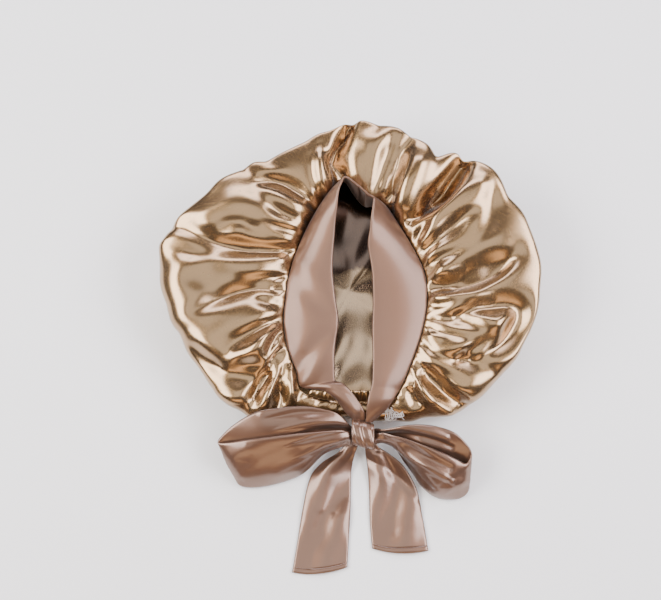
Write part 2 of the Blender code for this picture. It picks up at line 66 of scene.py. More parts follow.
LEFT_TAIL_LENGTH = 127.5
RIGHT_TAIL_LENGTH = 108.0
HEM_SAG = 4.0
TAIL_TUCK = 0.08
KNOT_LENGTH = 24.0
KNOT_WIDTH = 21.0
KNOT_HEIGHT = 19.0
KNOT_PINCH = 0.32
KNOT_ROUNDNESS = 0.5
KNOT_FULLNESS = 1.06
KNOT_STRETCH = 1.12
KNOT_SLANT = -6.0
KNOT_UNDERSIDE = 0.48
KNOT_ACROSS = 13.0
KNOT_OUT = 32.0
KNOT_UP = 27.5
PIECE_GAP = 0.5
FLOOR_LIFT = 0.2

# The photograph: size in pixels, and the camera in the model's frame.
PHOTO_WIDE = 661.0
PHOTO_HIGH = 600.0
SENSOR = 36.0
CAMERA_RISE = 76.0
CAMERA_AWAY = 1600.0
CAMERA_TARGET = (-18.5, 48.0, 20.0)
FOCAL = 1600.0

# How finely the cloth is laid.
CROWN_COLUMNS = 640
CROWN_SPAN_ROWS = (5, 7, 11, 14, 14, 13, 8, 6, 5, 4, 4, 4, 5, 5, 4)
BASE_ROWS = 34
BAND_STATIONS = 420
BAND_LINES = 40
NECK_STATIONS = 60
CASING_STATIONS = 160
CASING_LINES = 14
LOOP_STATIONS = 260
LOOP_LINES = 44
TAIL_STATIONS = 180
TAIL_LINES = 56
KNOT_RINGS = 60
KNOT_SIDES = 90

# Crown from the seam outwards.
# Columns: share of the way to the rim, fall, share of the inner rise, share of the outer rise,
# then fall and share of the outer rise where the edge of the crown is full.
CROWN_RINGS = (
    (0, 0, 0, 0, 0, 0),
    (.05, 0, .22, .02, 0, .02),
    (.12, .01, .45, .08, .01, .08),
    (.24, .05, .52, .26, .05, .26),
    (.42, .14, .42, .5, .14, .52),
    (.6, .27, .25, .76, .25, .8),
    (.78, .44, .1, .92, .36, .99),
    (.89, .58, .04, .9, .43, 1.05),
    (.96, .7, .02, .8, .47, 1.05),
    (.99, .78, 0, .66, .5, 1),
    (1, .88, 0, .44, .58, .86),
)
# Where the edge turns full, in degrees round from the nape, on the left and on the right.
FULL_LEFT = (95.0, 125.0)
FULL_RIGHT = (55.0, 85.0)
# Rows of the crown's grid down to the rim and from there to the base.
TOP_ROWS = sum(CROWN_SPAN_ROWS[:len(CROWN_RINGS) - 1])
SIDE_ROWS = sum(CROWN_SPAN_ROWS) - TOP_ROWS
# From the rim under to the flat base. Columns: share of the rim's reach, share of its height.
UNDER_RINGS = (
    (.993, .82),
    (.97, .5),
    (.925, .2),
    (.87, .04),
    (.8, 0),
)
# Upright folds round the side of the crown. They come in and go out between these shares of
# the way down from the rim.
SIDE_FOLD_DEPTH = 13.0
SIDE_FOLD_PUSH = 0.8
SIDE_FOLD_START = (-0.05, 0.45)
SIDE_FOLD_END = (1.3, 0.9)
# Columns: count round the crown, share, start in radians, slant down the side.
SIDE_FOLDS = (
    (17, .8, .4, .9),
    (26, 1, 2.1, -.7),
    (37, .7, 4, 1.4),
    (53, .45, 1.2, -1.2),
    (71, .25, 5.1, .8),
)
FOLD_FULLNESS = 1.05
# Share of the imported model's crease depth that the cloth shows, and how narrow a crease is.
CREASE_DEPTH = 0.08
CREASE_SHARPNESS = 1.8
# The columns of the crown are spread by place on the seam with this weight, else by bearing.
SEAM_WEIGHT = 0.4
FOLD_SAMPLES = 20000

# One row a fold, clockwise from the nape seen from above.
# Columns: place along the seam, bearing at the rim, then for the crease its rim reach as a
# share of the crown half and its inner and outer rise as shares of the puff rise, then the
# same three for the puff that follows it.
CROWN_FOLDS = (
    (0, 0, .68, 0, .05, .69, .05, .1),
    (.045, 15, .7, 0, .05, .74, .1, .15),
    (.088, 27, .76, 0, .05, .83, .25, .3),
    (.12, 33, .84, .1, .15, .87, .8, .6),
    (.155, 40, .87, .05, .2, .9, 1.05, .85),
    (.202, 63, .91, .05, .2, .92, 1.05, .85),
    (.238, 73, .92, .25, .45, .95, 1, .9),
    (.276, 83, .95, .1, .4, .99, 1, .95),
    (.32, 101, 1.02, .1, .3, .98, .9, 1),
    (.349, 113, .94, .3, .5, .87, 1, 1),
    (.376, 136, .81, .05, .25, .81, .95, .85),
    (.405, 145, .77, .1, .35, .77, 1, .8),
    (.429, 163, .78, .3, .3, .81, 1.1, .75),
    (.475, 178, .85, .1, .1, .87, .8, .85),
    (.537, 191, .85, .3, .45, .86, 1.3, .9),
    (.587, 202, .84, .15, .25, .84, 1.2, .85),
    (.63, 215, .79, -.15, -.05, .89, 1.05, .85),
    (.662, 225, .91, .3, .55, .96, 1.05, 1.05),
    (.7, 242, .94, .15, .5, .98, 1, 1),
    (.74, 260, .99, .05, .35, 1, 1, .95),
    (.772, 272, .99, .15, .3, .99, 1.05, .95),
    (.797, 285, .98, .15, .3, .96, 1, .9),
    (.834, 300, .93, .1, .25, .91, 1, .8),
    (.869, 316, .89, 0, .1, .88, .8, .6),
    (.905, 326, .84, .05, .1, .79, .15, .25),
    (.95, 341, .75, 0, .05, .72, .1, .15),
)

# The seam where crown meets band and casing, clockwise from the nape.
# Columns: place along the seam, across and forward as shares of the seam half length,
# height as a share of the seam height.
SEAM_ROWS = (
    (0, .03, -.33, .57),
    (.029, -.07, -.33, .57),
    (.06, -.18, -.315, .62),
    (.087, -.27, -.275, .72),
    (.12, -.31, -.16, .83),
    (.163, -.36, -.02, .94),
    (.204, -.38, .125, .98),
    (.237, -.37, .24, 1),
    (.281, -.35, .395, 1),
    (.336, -.29, .575, .98),
    (.388, -.21, .74, .96),
    (.439, -.11, .89, .92),
    (.475, -.03, .975, .87),
    (.509, .03, .9, .81),
    (.537, .09, .825, .81),
    (.578, .2, .825, .89),
    (.622, .29, .695, .98),
    (.674, .38, .54, 1),
    (.719, .44, .395, 1),
    (.762, .45, .24, 1),
    (.813, .42, .065, .98),
    (.874, .35, -.135, .92),
    (.92, .275, -.29, .81),
    (.95, .2, -.335, .66),
    (.975, .12, -.335, .6),
)

# How the band stands on the seam, from the left end over the forehead to the right end.
# Columns: place along the seam, heading and slope in degrees, width and bulge as shares
# of the band width. A slope over 90 leans outwards.
BAND_ROWS = (
    (.087, 9, 15, .62, .05),
    (.12, 4, 12, .7, .05),
    (.163, 0, 8, .86, .05),
    (.204, -2, 9, .98, .05),
    (.237, 0, 11, .9, .06),
    (.281, 3, 17, .81, .08),
    (.336, 1, 29, .71, .09),
    (.388, -4, 49, .64, .11),
    (.439, -29, 74, .67, .05),
    (.475, -90, 77, .79, 0),
    (.509, -90, 87, .84, -.03),
    (.537, -101, 91, .83, -.04),
    (.578, -150, 73, .73, .03),
    (.622, -168, 42, .71, .06),
    (.674, -180, 22, .9, .06),
    (.719, -181, 14, .98, .05),
    (.762, -179, 11, .98, .04),
    (.813, -179, 10, .9, .04),
    (.874, -181, 12, .68, .04),
    (.92, -186, 19, .49, .05),
)
BAND_LEFT_END = 0.092
BAND_RIGHT_END = 0.915
BAND_SOFTENING = 6

# Ends of the band between the panels and the knot: how far each edge leaves the straight way.
# Columns: share of the way, outer edge across, forward and up as shares of the band width,
# the same for the free edge, bulge.
LEFT_NECK = (
    (.3, .1, .11, .14, -.02, .15, .1, .07),
    (.55, .08, .11, .16, .03, .14, .12, .07),
    (.8, .02, .02, .13, .07, .05, .11, .05),
)
RIGHT_NECK = (
    (.33, .05, -.01, .07, -.03, -.01, .04, .05),
    (.66, .07, 0, .05, -.02, 0, .04, .05),
)
# Where the ends meet the knot. Columns: across, forward and up from the knot's middle as
# shares of the knot's width, length and height, outer edge then free edge.
LEFT_ROOT = (-.36, -.02, .06, .12, -.04, .22)
RIGHT_ROOT = (.4, -.08, .16, .12, -.11, .34)
ROOT_BULGE = 0.02

# Elastic casing at the nape, standing on the seam between the two ends of the band.
# Columns: place along the seam, heading and slope in degrees, width as a share of the
# casing's width.
CASING_ROWS = (
    (-.072, 120, 27, .73),
    (-.05, 108, 36, .79),
    (-.025, 96, 46, .92),
    (0, 90, 55, 1),
    (.029, 84, 50, .95),
    (.055, 70, 30, .68),
    (.076, 60, 22, .5),
)
CASING_BULGE = 1.2
CASING_RUFFLES = 17.0
CASING_RUFFLE = 0.55
CASING_SEAM_RUFFLE = 0.3
# Slower waves that keep the ruffles from being alike: share and count beside theirs.
CASING_SWAY = (1.6, 0.23)
CASING_DRIFT = (0.7, 0.41)

# Loops of the bow, from the knot along the front layer, round the end, back along the rear layer.
# Columns: for the lower edge its share of the reach, forward as a share of the band width and
# height as a share of the loop height, the same for the upper edge, then bulge.
LEFT_LOOP = (
    (0, -.16, .43, 0, .02, .64, .02),
    (.085, -.21, .34, .076, .01, .8, .04),
    (.215, -.33, .24, .215, -.01, .89, .07),
    (.353, -.63, .13, .384, -.04, .93, .09),
    (.492, -.77, .02, .568, -.09, .92, .11),
    (.668, -.87, .01, .745, -.13, .84, .11),
    (.799, -.88, .01, .907, -.17, .71, .07),
    (.853, -.82, .05, .995, -.16, .63, .02),
    (.838, -.7, .07, .98, -.07, .67, .02),
    (.768, -.54, .18, .876, .13, .82, .09),
    (.63, -.44, .3, .722, .32, .94, .15),
    (.492, -.34, .4, .538, .39, .98, .16),
    (.338, -.22, .44, .353, .42, .98, .15),
    (.199, -.13, .4, .215, .38, .95, .1),
    (.084, -.07, .36, .099, .3, .86, .04),
    (0, -.05, .39, 0, .12, .59, 0),
)
RIGHT_LOOP = (
    (0, -.16, .4, 0, 0, .59, .02),
    (.105, -.12, .27, .095, -.01, .69, .04),
    (.233, -.21, .12, .265, -.11, .81, .05),
    (.361, -.5, .04, .51, -.24, .84, .12),
    (.499, -.86, .01, .712, -.37, .8, .17),
    (.659, -1.06, .01, .85, -.47, .73, .17),
    (.85, -1.09, .02, .94, -.53, .65, .09),
    (.955, -1.02, .08, .99, -.44, .65, .03),
    (.985, -.9, .13, .998, -.32, .69, .02),
    (.95, -.78, .11, .95, -.2, .75, .03),
    (.871, -.66, .16, .829, -.02, .84, .06),
    (.701, -.5, .26, .659, .08, .88, .11),
    (.51, -.35, .34, .488, .12, .88, .12),
    (.318, -.16, .32, .318, .12, .83, .07),
    (.148, -.08, .27, .159, .09, .72, .04),
    (.063, -.06, .34, .063, .08, .62, 0),
    (0, -.05, .37, 0, .09, .56, 0),
)

# Tails of the bow from the knot to the hem.
# Columns: share of the tail length, left and right edge across as shares of the band width,
# their heights as shares of the drop from the knot, ripple and slant as shares of the width.
LEFT_TAIL = (
    (0, -.21, -.04, 1, 1, 0, 0),
    (.07, -.34, -.09, .76, .79, .02, 0),
    (.12, -.48, -.13, .42, .55, .05, 0),
    (.18, -.71, -.17, .18, .32, .08, 0),
    (.28, -.91, -.2, .02, .09, .09, 0),
    (.53, -1.05, -.21, 0, .01, .09, 0),
    (.77, -1.14, -.24, 0, .01, .07, -.04),
    (1, -1.23, -.27, 0, 0, .02, -.09),
)
RIGHT_TAIL = (
    (0, .02, .2, .99, .97, 0, 0),
    (.08, .04, .28, .76, .86, .02, 0),
    (.14, .05, .45, .52, .78, .05, 0),
    (.24, .08, .69, .25, .58, .09, 0),
    (.45, .11, .94, .01, .2, .11, 0),
    (.71, .12, 1.05, 0, 0, .1, 0),
    (.87, .14, 1.1, 0, 0, .07, 0),
    (1, .16, 1.14, 0, 0, .03, .04),
)

# Folds that the photograph shows, each placed along a line in the photograph.
# Columns: half width on the left and on the right hand of the line, height (a dent is below
# zero), the line's points, and how square its section is, 2 where that isn't given.
# A point: pixels across and down, and a share of the size, 1 where that isn't given.
CROWN_STROKES = (
    # Forehead, left of the deep crease: the teardrop and the slope beside it.
    (9, 8, 7, ((319, 151, .6), (319, 165, .9), (322, 180), (329, 197, .7)), 3),
    (4, 3, -4, ((318, 146, .5), (312, 160), (313, 180), (322, 199, .8)), 1.6),
    (3, 4, -4, ((321, 146, .5), (331, 156), (335, 172), (336, 186, .6)), 1.6),
    (2.5, 2.5, -2.5, ((323, 152, .5), (326, 166), (328, 184, .8))),
    # Triangle with its dark crescent.
    (6, 6, -7, ((260, 181, .6), (272, 180), (285, 183), (298, 192, .9), (312, 205, .3))),
    (10, 8, 5, ((268, 192, .5), (284, 199), (300, 206, .8), (310, 212, .4)), 2.5),
    (4, 12, 1.5, ((260, 178, .5), (270, 174), (282, 173), (297, 181, .6))),
    (6, 5, -2, ((250, 178, .4), (253, 187), (258, 198, .6))),
    # Big puff on the left with the lens on it.
    (18, 18, 8, ((214, 222, .75), (235, 220), (260, 222), (285, 228, .8)), 4),
    (6, 5, -4, ((214, 229, .4), (226, 225), (238, 223, .5))),
    (4, 4, -4, ((240, 220, .4), (249, 227), (262, 234, .8), (276, 239, .4))),
    (4, 4, -3.5, ((263, 223, .6), (277, 227), (295, 231, .6), (306, 233, .3))),
    (6, 5, -4, ((272, 207, .8), (282, 213), (293, 219, .4))),
    (5, 9, -8, ((294, 251, .5), (275, 250, .8), (250, 248), (225, 244), (210, 240),
     (195, 233, .9), (180, 227, .7), (164, 225, .5)), 1.5),
    (4, 4, -5, ((172, 246, .4), (182, 250, .9), (195, 253), (215, 253, .7), (250, 252, .3)), 1.6),
    (3, 3, 3, ((276, 257, .5), (282, 261), (289, 265, .5))),
    # Lens on the left, and the long crease below it.
    (10, 10, -4.5, ((190, 279, .5), (206, 278), (222, 281, .9), (245, 282, .5),
     (268, 279, .2)), 3.4),
    (2.5, 2.5, -4, ((240, 279, .4), (262, 278), (288, 278)), 1.5),
    (3, 11, -7, ((194, 311, .4), (207, 301, .8), (223, 294), (240, 288), (256, 286),
     (276, 288, .8), (288, 288, .5)), 1.5),
    (4, 4, 3.5, ((258, 293, .6), (270, 295), (284, 297, .7))),
    (3.5, 3.5, -4, ((258, 299, .7), (268, 301), (282, 303, .6))),
    # Puff on the lower left and the purple valley that ends it.
    (16, 12, 3, ((178, 262, .6), (176, 285), (181, 310), (192, 330, .8), (207, 352, .6))),
    (13, 5, 5, ((288, 312, .5), (262, 320, .8), (242, 330), (228, 345), (222, 361, .7))),
    (6, 8, -9, ((289, 316, .4), (268, 324, .8), (248, 333), (233, 344), (224, 358, .5)), 1.8),
    (6, 5, 5, ((280, 324, .5), (266, 337), (255, 349), (243, 357, .5))),
    (4, 5, -5, ((284, 326, .5), (274, 340), (268, 354, .8)), 1.6),
    (4, 4, -4, ((238, 363, .5), (253, 364), (272, 365, .4))),
    (14, 10, -7, ((272, 376, .5), (250, 377), (228, 372), (208, 362, .8), (194, 348, .5))),
    (10, 10, 4, ((246, 392, .6), (234, 396), (222, 392, .8))),
    # Pleats at the nape on the left.
    (5, 3, -9, ((292, 340, .5), (280, 354), (272, 368), (263, 382), (252, 398, .8)), 1.5),
    (5, 6, 5, ((284, 354, .4), (272, 376), (266, 392), (264, 410, .8))),
    (4, 4, -6, ((290, 356, .5), (284, 374, .9), (281, 390), (281, 408, .8)), 1.8),
    (3, 3, 4, ((293, 366, .5), (291, 385), (291, 408, .8))),
    # Forehead, right of the deep crease: the mound with a hook-shaped groove.
    (4, 5, -11, ((353, 119, .6), (348, 129, .9), (343, 143), (339, 160), (342, 180, .7)), 1.5),
    (14, 16, 6.5, ((358, 186, .8), (362, 166), (372, 148, .9), (384, 138, .5)), 2.4),
    (6, 6, -5, ((393, 136, .4), (389, 152, .9), (382, 170), (375, 188, .8))),
    (5, 4, -9, ((410, 140, .4), (402, 152, .7), (398, 166, .9), (393, 181), (389, 199, .9)), 1.6),
    # The lobe with its tongue.
    (11, 12, 6.5, ((400, 200, .7), (409, 182), (419, 164, .9)), 2.4),
    # The deepest fold, and the tube beside it.
    (8, 2.5, -24, ((410, 220, .3), (421, 212, .6), (434, 202), (445, 190), (454, 177, .8),
     (465, 161, .6)), 1.6),
    (7, 7, 6, ((424, 240, .5), (436, 226, .8), (450, 209), (466, 196), (483, 186, .9)), 3),
    (3, 4, -3.5, ((440, 222, .5), (455, 205), (470, 194), (484, 187, .5))),
    (7, 6, -6, ((428, 250, .6), (440, 238, .9), (453, 226), (464, 216, .8), (478, 209, .4))),
    (4, 4, -4, ((416, 240, .6), (421, 232), (428, 223, .6))),
    (4, 8, -3, ((489, 178, .4), (493, 198), (493, 220), (486, 233, .8), (472, 245, .4))),
    (4, 4, 3.5, ((424, 262, .5), (433, 253), (440, 244, .6))),
    (3, 3, -4, ((436, 259, .6), (450, 253), (468, 246, .4)), 1.8),
    # Right side: the long trench under a wide bright slope.
    (6, 6, 4, ((432, 279, .5), (445, 273), (458, 268, .7)), 3),
    (3, 3, -4, ((432, 284, .6), (445, 281), (456, 277, .4)), 1.8),
    (18, 4, -11, ((432, 289, .4), (448, 289, .7), (463, 285), (478, 281), (494, 273),
     (506, 264, .8), (516, 255, .4)), 1.8),
    (5, 5, 4, ((432, 299, .6), (450, 297), (470, 294, .8), (490, 297, .5)), 2.5),
    (3, 3, -4, ((434, 305, .5), (448, 302), (465, 298, .5))),
    # The hook-shaped trench and the ridge inside it.
    (8, 8, -9, ((456, 315, .4), (472, 309, .7), (490, 305), (507, 304), (519, 308), (521, 320),
     (513, 334), (499, 346), (483, 357, .5)), 2.4),
    (4, 4, 4, ((467, 315, .5), (484, 319), (500, 326), (501, 336), (489, 347), (476, 358, .7))),
    (3.5, 3.5, 3, ((504, 316, .9), (509, 314, .9))),
    (9, 5, -6, ((432, 318, .5), (450, 320), (468, 322), (484, 327, .5))),
    (3, 5, -6, ((426, 326, .5), (440, 330, .9), (452, 333), (464, 336, .8), (476, 337, .3)), 1.5),
    (4, 4, -4, ((434, 340, .6), (444, 342), (456, 345, .4))),
    (9, 6, -6, ((496, 334, .4), (484, 343, .9), (472, 351), (462, 355, .6))),
    (3, 12, -6, ((418, 338, .5), (434, 349, .8), (454, 357), (474, 361), (491, 368, .5)), 1.5),
    (6, 8, -5, ((418, 354, .4), (434, 368, .8), (448, 376), (462, 381, .6))),
    # Below: facets that run down to the nape on the right.
    (5, 12, -9, ((411, 357, .5), (427, 373, .9), (442, 387), (455, 399), (466, 408, .7)), 1.5),
    (6, 6, -5, ((405, 370, .6), (411, 385), (417, 402, .8))),
    (4, 4, 4, ((412, 372, .5), (422, 388), (432, 402, .6))),
)

# Soft creases of the band's two panels.
BAND_STROKES = (
    (10, 10, -1.1, ((300, 262, .6), (318, 285), (334, 306, .6))),
    (9, 9, 1, ((292, 270, .6), (310, 292), (326, 308), (340, 321, .8))),
    (10, 10, -1.2, ((300, 300, .6), (308, 322), (304, 346, .6))),
    (8, 8, 1.8, ((340, 322, .8), (323, 338), (307, 356), (297, 379, .6))),
    (8, 8, -2, ((334, 342, .6), (318, 362), (304, 380, .8))),
)

# The left end of the band is twisted into the knot with creases across it.
NECK_STROKES = (
    (3, 3, -1.6, ((328, 391, .5), (342, 398), (352, 408), (357, 418, .6))),
    (3, 3, 1.2, ((334, 387, .5), (348, 394), (358, 404), (361, 414, .6))),
)
# Folds of the bow: the outer layer of each loop, its rear layer, and the tails.
LEFT_LOOP_STROKES = (
    (3, 4, -3, ((352, 432, .5), (338, 434), (316, 438, .8), (284, 447, .1))),
    (4, 4, 2.5, ((352, 436, .5), (336, 441), (318, 447, .8), (292, 458, .1))),
    (4, 4, -2.5, ((346, 441, .6), (330, 451), (314, 463, .8), (294, 478, .1))),
    (8, 8, 2, ((318, 452, .5), (298, 462), (278, 474, .8))),
    (10, 10, -2, ((296, 446, .5), (270, 456), (248, 468, .6))),
    (12, 8, 2.4, ((246, 448, .5), (232, 458), (240, 474, .6))),
)
LEFT_LOOP_REAR_STROKES = (
    (4, 5, 3, ((350, 424, .5), (334, 420), (308, 422, .8), (272, 431, .1))),
    (5, 5, -3, ((346, 418, .5), (328, 413), (300, 412, .8), (262, 420, .1))),
    (4, 4, -3, ((345, 428, .5), (320, 430, .8), (282, 437, .1))),
    (6, 6, 2.4, ((336, 410, .4), (300, 405), (262, 412, .6))),
)
RIGHT_LOOP_STROKES = (
    (3, 4, 3, ((378, 437, .5), (394, 441), (410, 456), (430, 467), (452, 481, .6))),
    (4, 4, -3.5, ((384, 436, .5), (404, 444), (424, 456), (450, 468, .8))),
    (5, 5, -3, ((392, 449, .5), (404, 462), (418, 477), (432, 490, .6))),
    (4, 4, 1.2, ((446, 492, .3), (456, 484), (470, 480, .5))),
    (5, 5, -1.2, ((440, 486, .3), (454, 478), (468, 470, .5))),
)
RIGHT_LOOP_REAR_STROKES = (
    (4, 5, 3, ((382, 429, .5), (400, 427), (424, 430), (446, 437, .6))),
    (4, 4, -3.5, ((384, 434, .5), (404, 433), (428, 438), (452, 447, .6))),
)
LEFT_TAIL_STROKES = (
    (7, 9, 2.4, ((350, 446, .6), (339, 466), (330, 488), (322, 508, .6))),
    (8, 6, -2, ((354, 456, .6), (350, 476), (345, 496), (336, 512, .6))),
    (14, 14, 1.4, ((352, 500, .6), (336, 512), (312, 520, .8))),
    (15, 15, -1.4, ((350, 530, .6), (328, 540), (304, 546, .8))),
)
RIGHT_TAIL_STROKES = (
    (6, 5, -2.6, ((366, 456, .6), (382, 466), (402, 479), (420, 500, .7))),
    (5, 6, 2.8, ((384, 442, .5), (396, 454), (409, 472), (419, 494, .8))),
    (3, 3, -2, ((368, 444, .6), (376, 450), (384, 446, .6))),
    (13, 13, -1.4, ((374, 478, .5), (380, 500), (384, 522, .8))),
    (8, 8, -1, ((396, 530, .6), (410, 522), (424, 518, .6))),
)

# How much wider and higher the strokes are laid than their tables say.
STROKE_SPREAD = 1.6
STROKE_SHARE = 1.75
NARROWEST = 3.5
# A stroke's section: its rounding at crest and foot in half widths, how fast a squarer one
# turns flat on top and how far at most, and where it ends.
CREST_ROUND = 0.22
FOOT_ROUND = 0.22
FLAT_PER_POWER = 0.3
FLAT_MOST = 0.5
STROKE_END = 2.6
# Along a stroke: pieces between two points, how far round it is worked out in half widths
# where it is sharp and otherwise, and the least share of its size.
STROKE_PIECES = 5
SHARP_REACH = 3.0
STROKE_REACH = 2.4
LEAST_SIZE = 0.05
# How squarely a strip of cloth ends, for its width or length over its thickness.
EDGE_SHARPNESS = 0.8

# Rounds of evening out after all folds are in, and how far from the seam it is in full force.
CLOTH_SOFTENING = 15
SEAM_SOFTENING = 2
SOFT_FROM_SEAM = 16.0
# The rim keeps more of its shape: by this share, within this many rows.
RIM_CRISP = 0.6
RIM_CRISP_ROWS = 9.0
# Folds deeper than CRISP_FROM keep their sharp foot, fully at twice that.
CRISP_FROM = 7.0
CRISP_SHARE = 0.85

# Rows at the rim between which strokes and gathers end.
TOP_END = (TOP_ROWS + 2, TOP_ROWS - 4)
# The strokes come in between these distances from the seam.
FOLDS_START = (2.0, 11.0)
# Small gathers along the seam. Each strays in place and heading by a share of its pitch.
GATHERS = 84
GATHER_RISE = 1.7
GATHER_RISES = (0.6, 1.2)
GATHER_LENGTHS = (10.0, 28.0)
GATHER_STRAY = 0.25
GATHER_SWAY = 0.35
GATHER_WIDTH = 0.36
GATHER_SPREAD = 0.3
# At the seam itself a gather has this share of its height, and all of it from this far on.
GATHER_LEAST = 0.35
GATHER_FULL = 1.5
# The cloth is drawn down beside the seam.
GATHER_SINK = 0.5
GATHER_SINK_PLACE = 3.0
GATHER_SINK_LENGTH = 6.0
GATHER_SINK_START = 2.0
GATHER_SEED = 11

# Unevenness of the crown, how far the floor's folds wander, its wrinkles, and unevenness of
# the tails: height and length in millimetres, seed.
SOFT_NOISE = (0.23, 70.0, 5)
FINE_NOISE = (0.006, 9.0, 6)
FLOOR_WANDER = (4.0, 60.0, 8)
FLOOR_WRINKLE = (1.0, 40.0, 7)
TAIL_NOISE = (0.35, 42.0, 21)
NOISE_WAVES = 14
NOISE_PITCHES = (0.6, 1.6)

# Cloth settling of the crown, on a coarser grid of SETTLE_ROWS rows and every second column.
CLOTH_SCALE = 0.01
CLOTH_FRAMES = 24
SETTLE_ROWS = 72
SETTLE_STEP = 2.0
CLOTH_SETTINGS = {
    "quality": 6, "mass": 0.25, "tension_stiffness": 20.0, "compression_stiffness": 20.0,
    "shear_stiffness": 8.0, "bending_stiffness": 30.0, "air_damping": 3.0,
    "shrink_min": -0.011, "use_pressure": True, "uniform_pressure_force": 0.6,
}
# Rows from the seam that are held, and rows before the rim where the hold comes in.
HELD_ROWS = 6.0
HELD_RIM = (TOP_ROWS - 16, TOP_ROWS - 2)
# Rounds of evening out and share of the settling that is kept.
MOVE_SOFTENING = 14
MOVE_SHARE = 0.6

# Laid folds of the crown's floor inside the opening. Columns: forward, height.
FLOOR_RISE = (
    (-120, 0), (-60, 1), (-44, 3.6), (-32, 3.4), (-6, .8), (8, 3.2), (16, 3.2), (44, .8),
    (58, 3.4), (66, 3.2), (84, .6), (92, 1.2), (104, 5), (122, 12), (140, 16), (158, 14),
    (176, 4), (190, 0), (225, 0),
)
FLOOR_SLANT = 0.22
FLOOR_RISE_MIDDLE = 5.0
FLOOR_RISE_WIDTH = 62.0
# How much higher the floor lies, the rows where all this comes in, and the least height.
FLOOR_LIFTED = 1.5
FLOOR_ROWS = (TOP_ROWS + 12, TOP_ROWS + 24)
CROWN_LOWEST = 0.25
# The innermost ring of the base, as a share of the base.
BASE_HOLE = 0.02
# Rows where the wrong side starts, and how far forward the painted light reaches before the
# painted shade begins, with how far that edge waves and how soft it is.
LINING_ROWS = (TOP_ROWS + 22, TOP_ROWS + 26)
PAINTED_SHADE_EDGE = 80.0
PAINTED_SHADE_WAVE = 3.0
PAINTED_SHADE_WAVE_PITCH = 0.12
PAINTED_SHADE_BLEND = 3.0

# Hems of the tails: depth of the turned edge, its rise, and the groove of the stitching.
HEM_DEEP = 4.5
HEM_RISE = 0.5
HEM_STEP = 0.5
HEM_GROOVE = 0.4
HEM_GROOVE_WIDTH = 0.8
# How far a tail's wave shifts along it, and the share that is kept of a dip into the floor.
TAIL_SHIFT = 0.9
TAIL_DIP = 0.4
# Shares of a tail and of a loop's width where their creases come in.
TAIL_START = 0.125
LOOP_EDGE = 0.25
# Rear layer of a loop starts between these shares of the way round.
LOOP_TURN = (0.46, 0.54)
# Creases of the knot: half turns along it, swing round it and its bearing, start, depth of
# the wide and fine ones, and how much faster the fine ones follow each other.
KNOT_TURNS = 2.2
KNOT_SWING = 1.5
KNOT_SWING_AT = 0.7
KNOT_START = 0.4
KNOT_CREASE = 0.075
KNOT_FINE_CREASE = 0.02
KNOT_FINE_RATE = 2.3
# The knot's ends: their size and how squarely they end. Then the cloth round it in metres.
KNOT_END = 0.94
KNOT_END_SHARPNESS = 16
KNOT_ROUND_WAY = 0.07

# Threads. Overlock columns: across, forward, length, depth, curls, seed.
OVERLOCK = (
    (44.0, -71.0, 17.0, 4.6, 9, 3),
    (37.0, -66.0, 9.0, 3.0, 5, 4),
)
# Strands, points in a curl, about a full turn, width and height of the curls, how high they
# lie, and how their depth and height change along the thread and from strand to strand.
OVERLOCK_STRANDS = 3
OVERLOCK_POINTS = 14
OVERLOCK_TURN = 6.28
OVERLOCK_CURL = 1.1
OVERLOCK_LIFT = 0.35
OVERLOCK_ABOVE = 0.5
OVERLOCK_CHANGE = (0.6, 0.4, 5.0)
OVERLOCK_SHIFT = 1.5
OVERLOCK_SOFTENING = 6
OVERLOCK_RADIUS = 0.3
# Hem stitches: pitch and the share of it that shows, height of the arch, how deep its ends
# lie, points, where the row starts and ends across the tail, and its way past the hem's edge.
STITCH_PITCH = 2.8
STITCH_SHARE = 0.62
STITCH_ARCH = 0.22
STITCH_SUNK = 0.05
STITCH_POINTS = 5
STITCH_ENDS = (0.06, 0.94)
STITCH_IN = 0.6
STITCH_RADIUS = 0.2
THREAD_SIDES = 6
# Nearly upright, so that no thread runs along it.
THREAD_UP = (0.05, 0.03, 1.0)
THREAD_SEARCH = 22.0
THREAD_NEAR = 1.8

# Flat sizes of the cloth in metres.
CROWN_CUT = 0.56

# Colours in linear red, green, blue.
CHAMPAGNE = (0.33, 0.202, 0.088)
CHAMPAGNE_DEEP = (0.315, 0.172, 0.059)
TAUPE = (0.175, 0.097, 0.063)
TAUPE_DEEP = (0.16, 0.08, 0.046)
WHITE_THREAD = (0.60, 0.54, 0.50)
TIE_THREAD = (0.16, 0.095, 0.068)
FLOOR_PAPER = (0.86, 0.86, 0.86)
# The wrong side of the crown cloth, as a share of the right side: lighter where light falls in,
# which is painted light, and darker further in, which is painted shade.
LINING_PAINTED_LIGHT = (1.5, 1.76, 2.57)
LINING_PAINTED_SHADE = (0.22, 0.16, 0.14)

# Satin. Each noise: scale across and along the cloth, and detail.
SATIN_INPUTS = {
    "Specular IOR Level": 0.6, "Anisotropic": 0.35, "Coat Roughness": 0.19, "Coat IOR": 1.7,
    "Sheen Weight": 0.12, "Sheen Roughness": 0.4,
}
SATIN_THREADS = ((2200.0, 90.0, 1.0), 3.0)
SATIN_CRINKLES = ((140.0, 420.0, 1.0), 4.0)
SATIN_DYE = ((14.0, 14.0, 1.0), 3.0)
# How much the threads colour the satin, and how the crinkles change its roughness.
THREAD_COLOUR = 0.5
ROUGHNESS_SPREAD = (-0.04, 0.06)
# Bumps: strength and height in metres.
THREADS_BUMP = (0.06, 0.00006)
CRINKLES_BUMP = (0.05, 0.00025)
PLIES_BUMP = (0.3, 0.0001)
PLIES = ((2600.0, 2600.0, 900.0), 2.0)
PLIES_SHADE = 0.75

# Studio. The floor's half width and how far it lies below the bonnet, in metres.
FLOOR_HALF = 6.0
FLOOR_BELOW = 0.0004
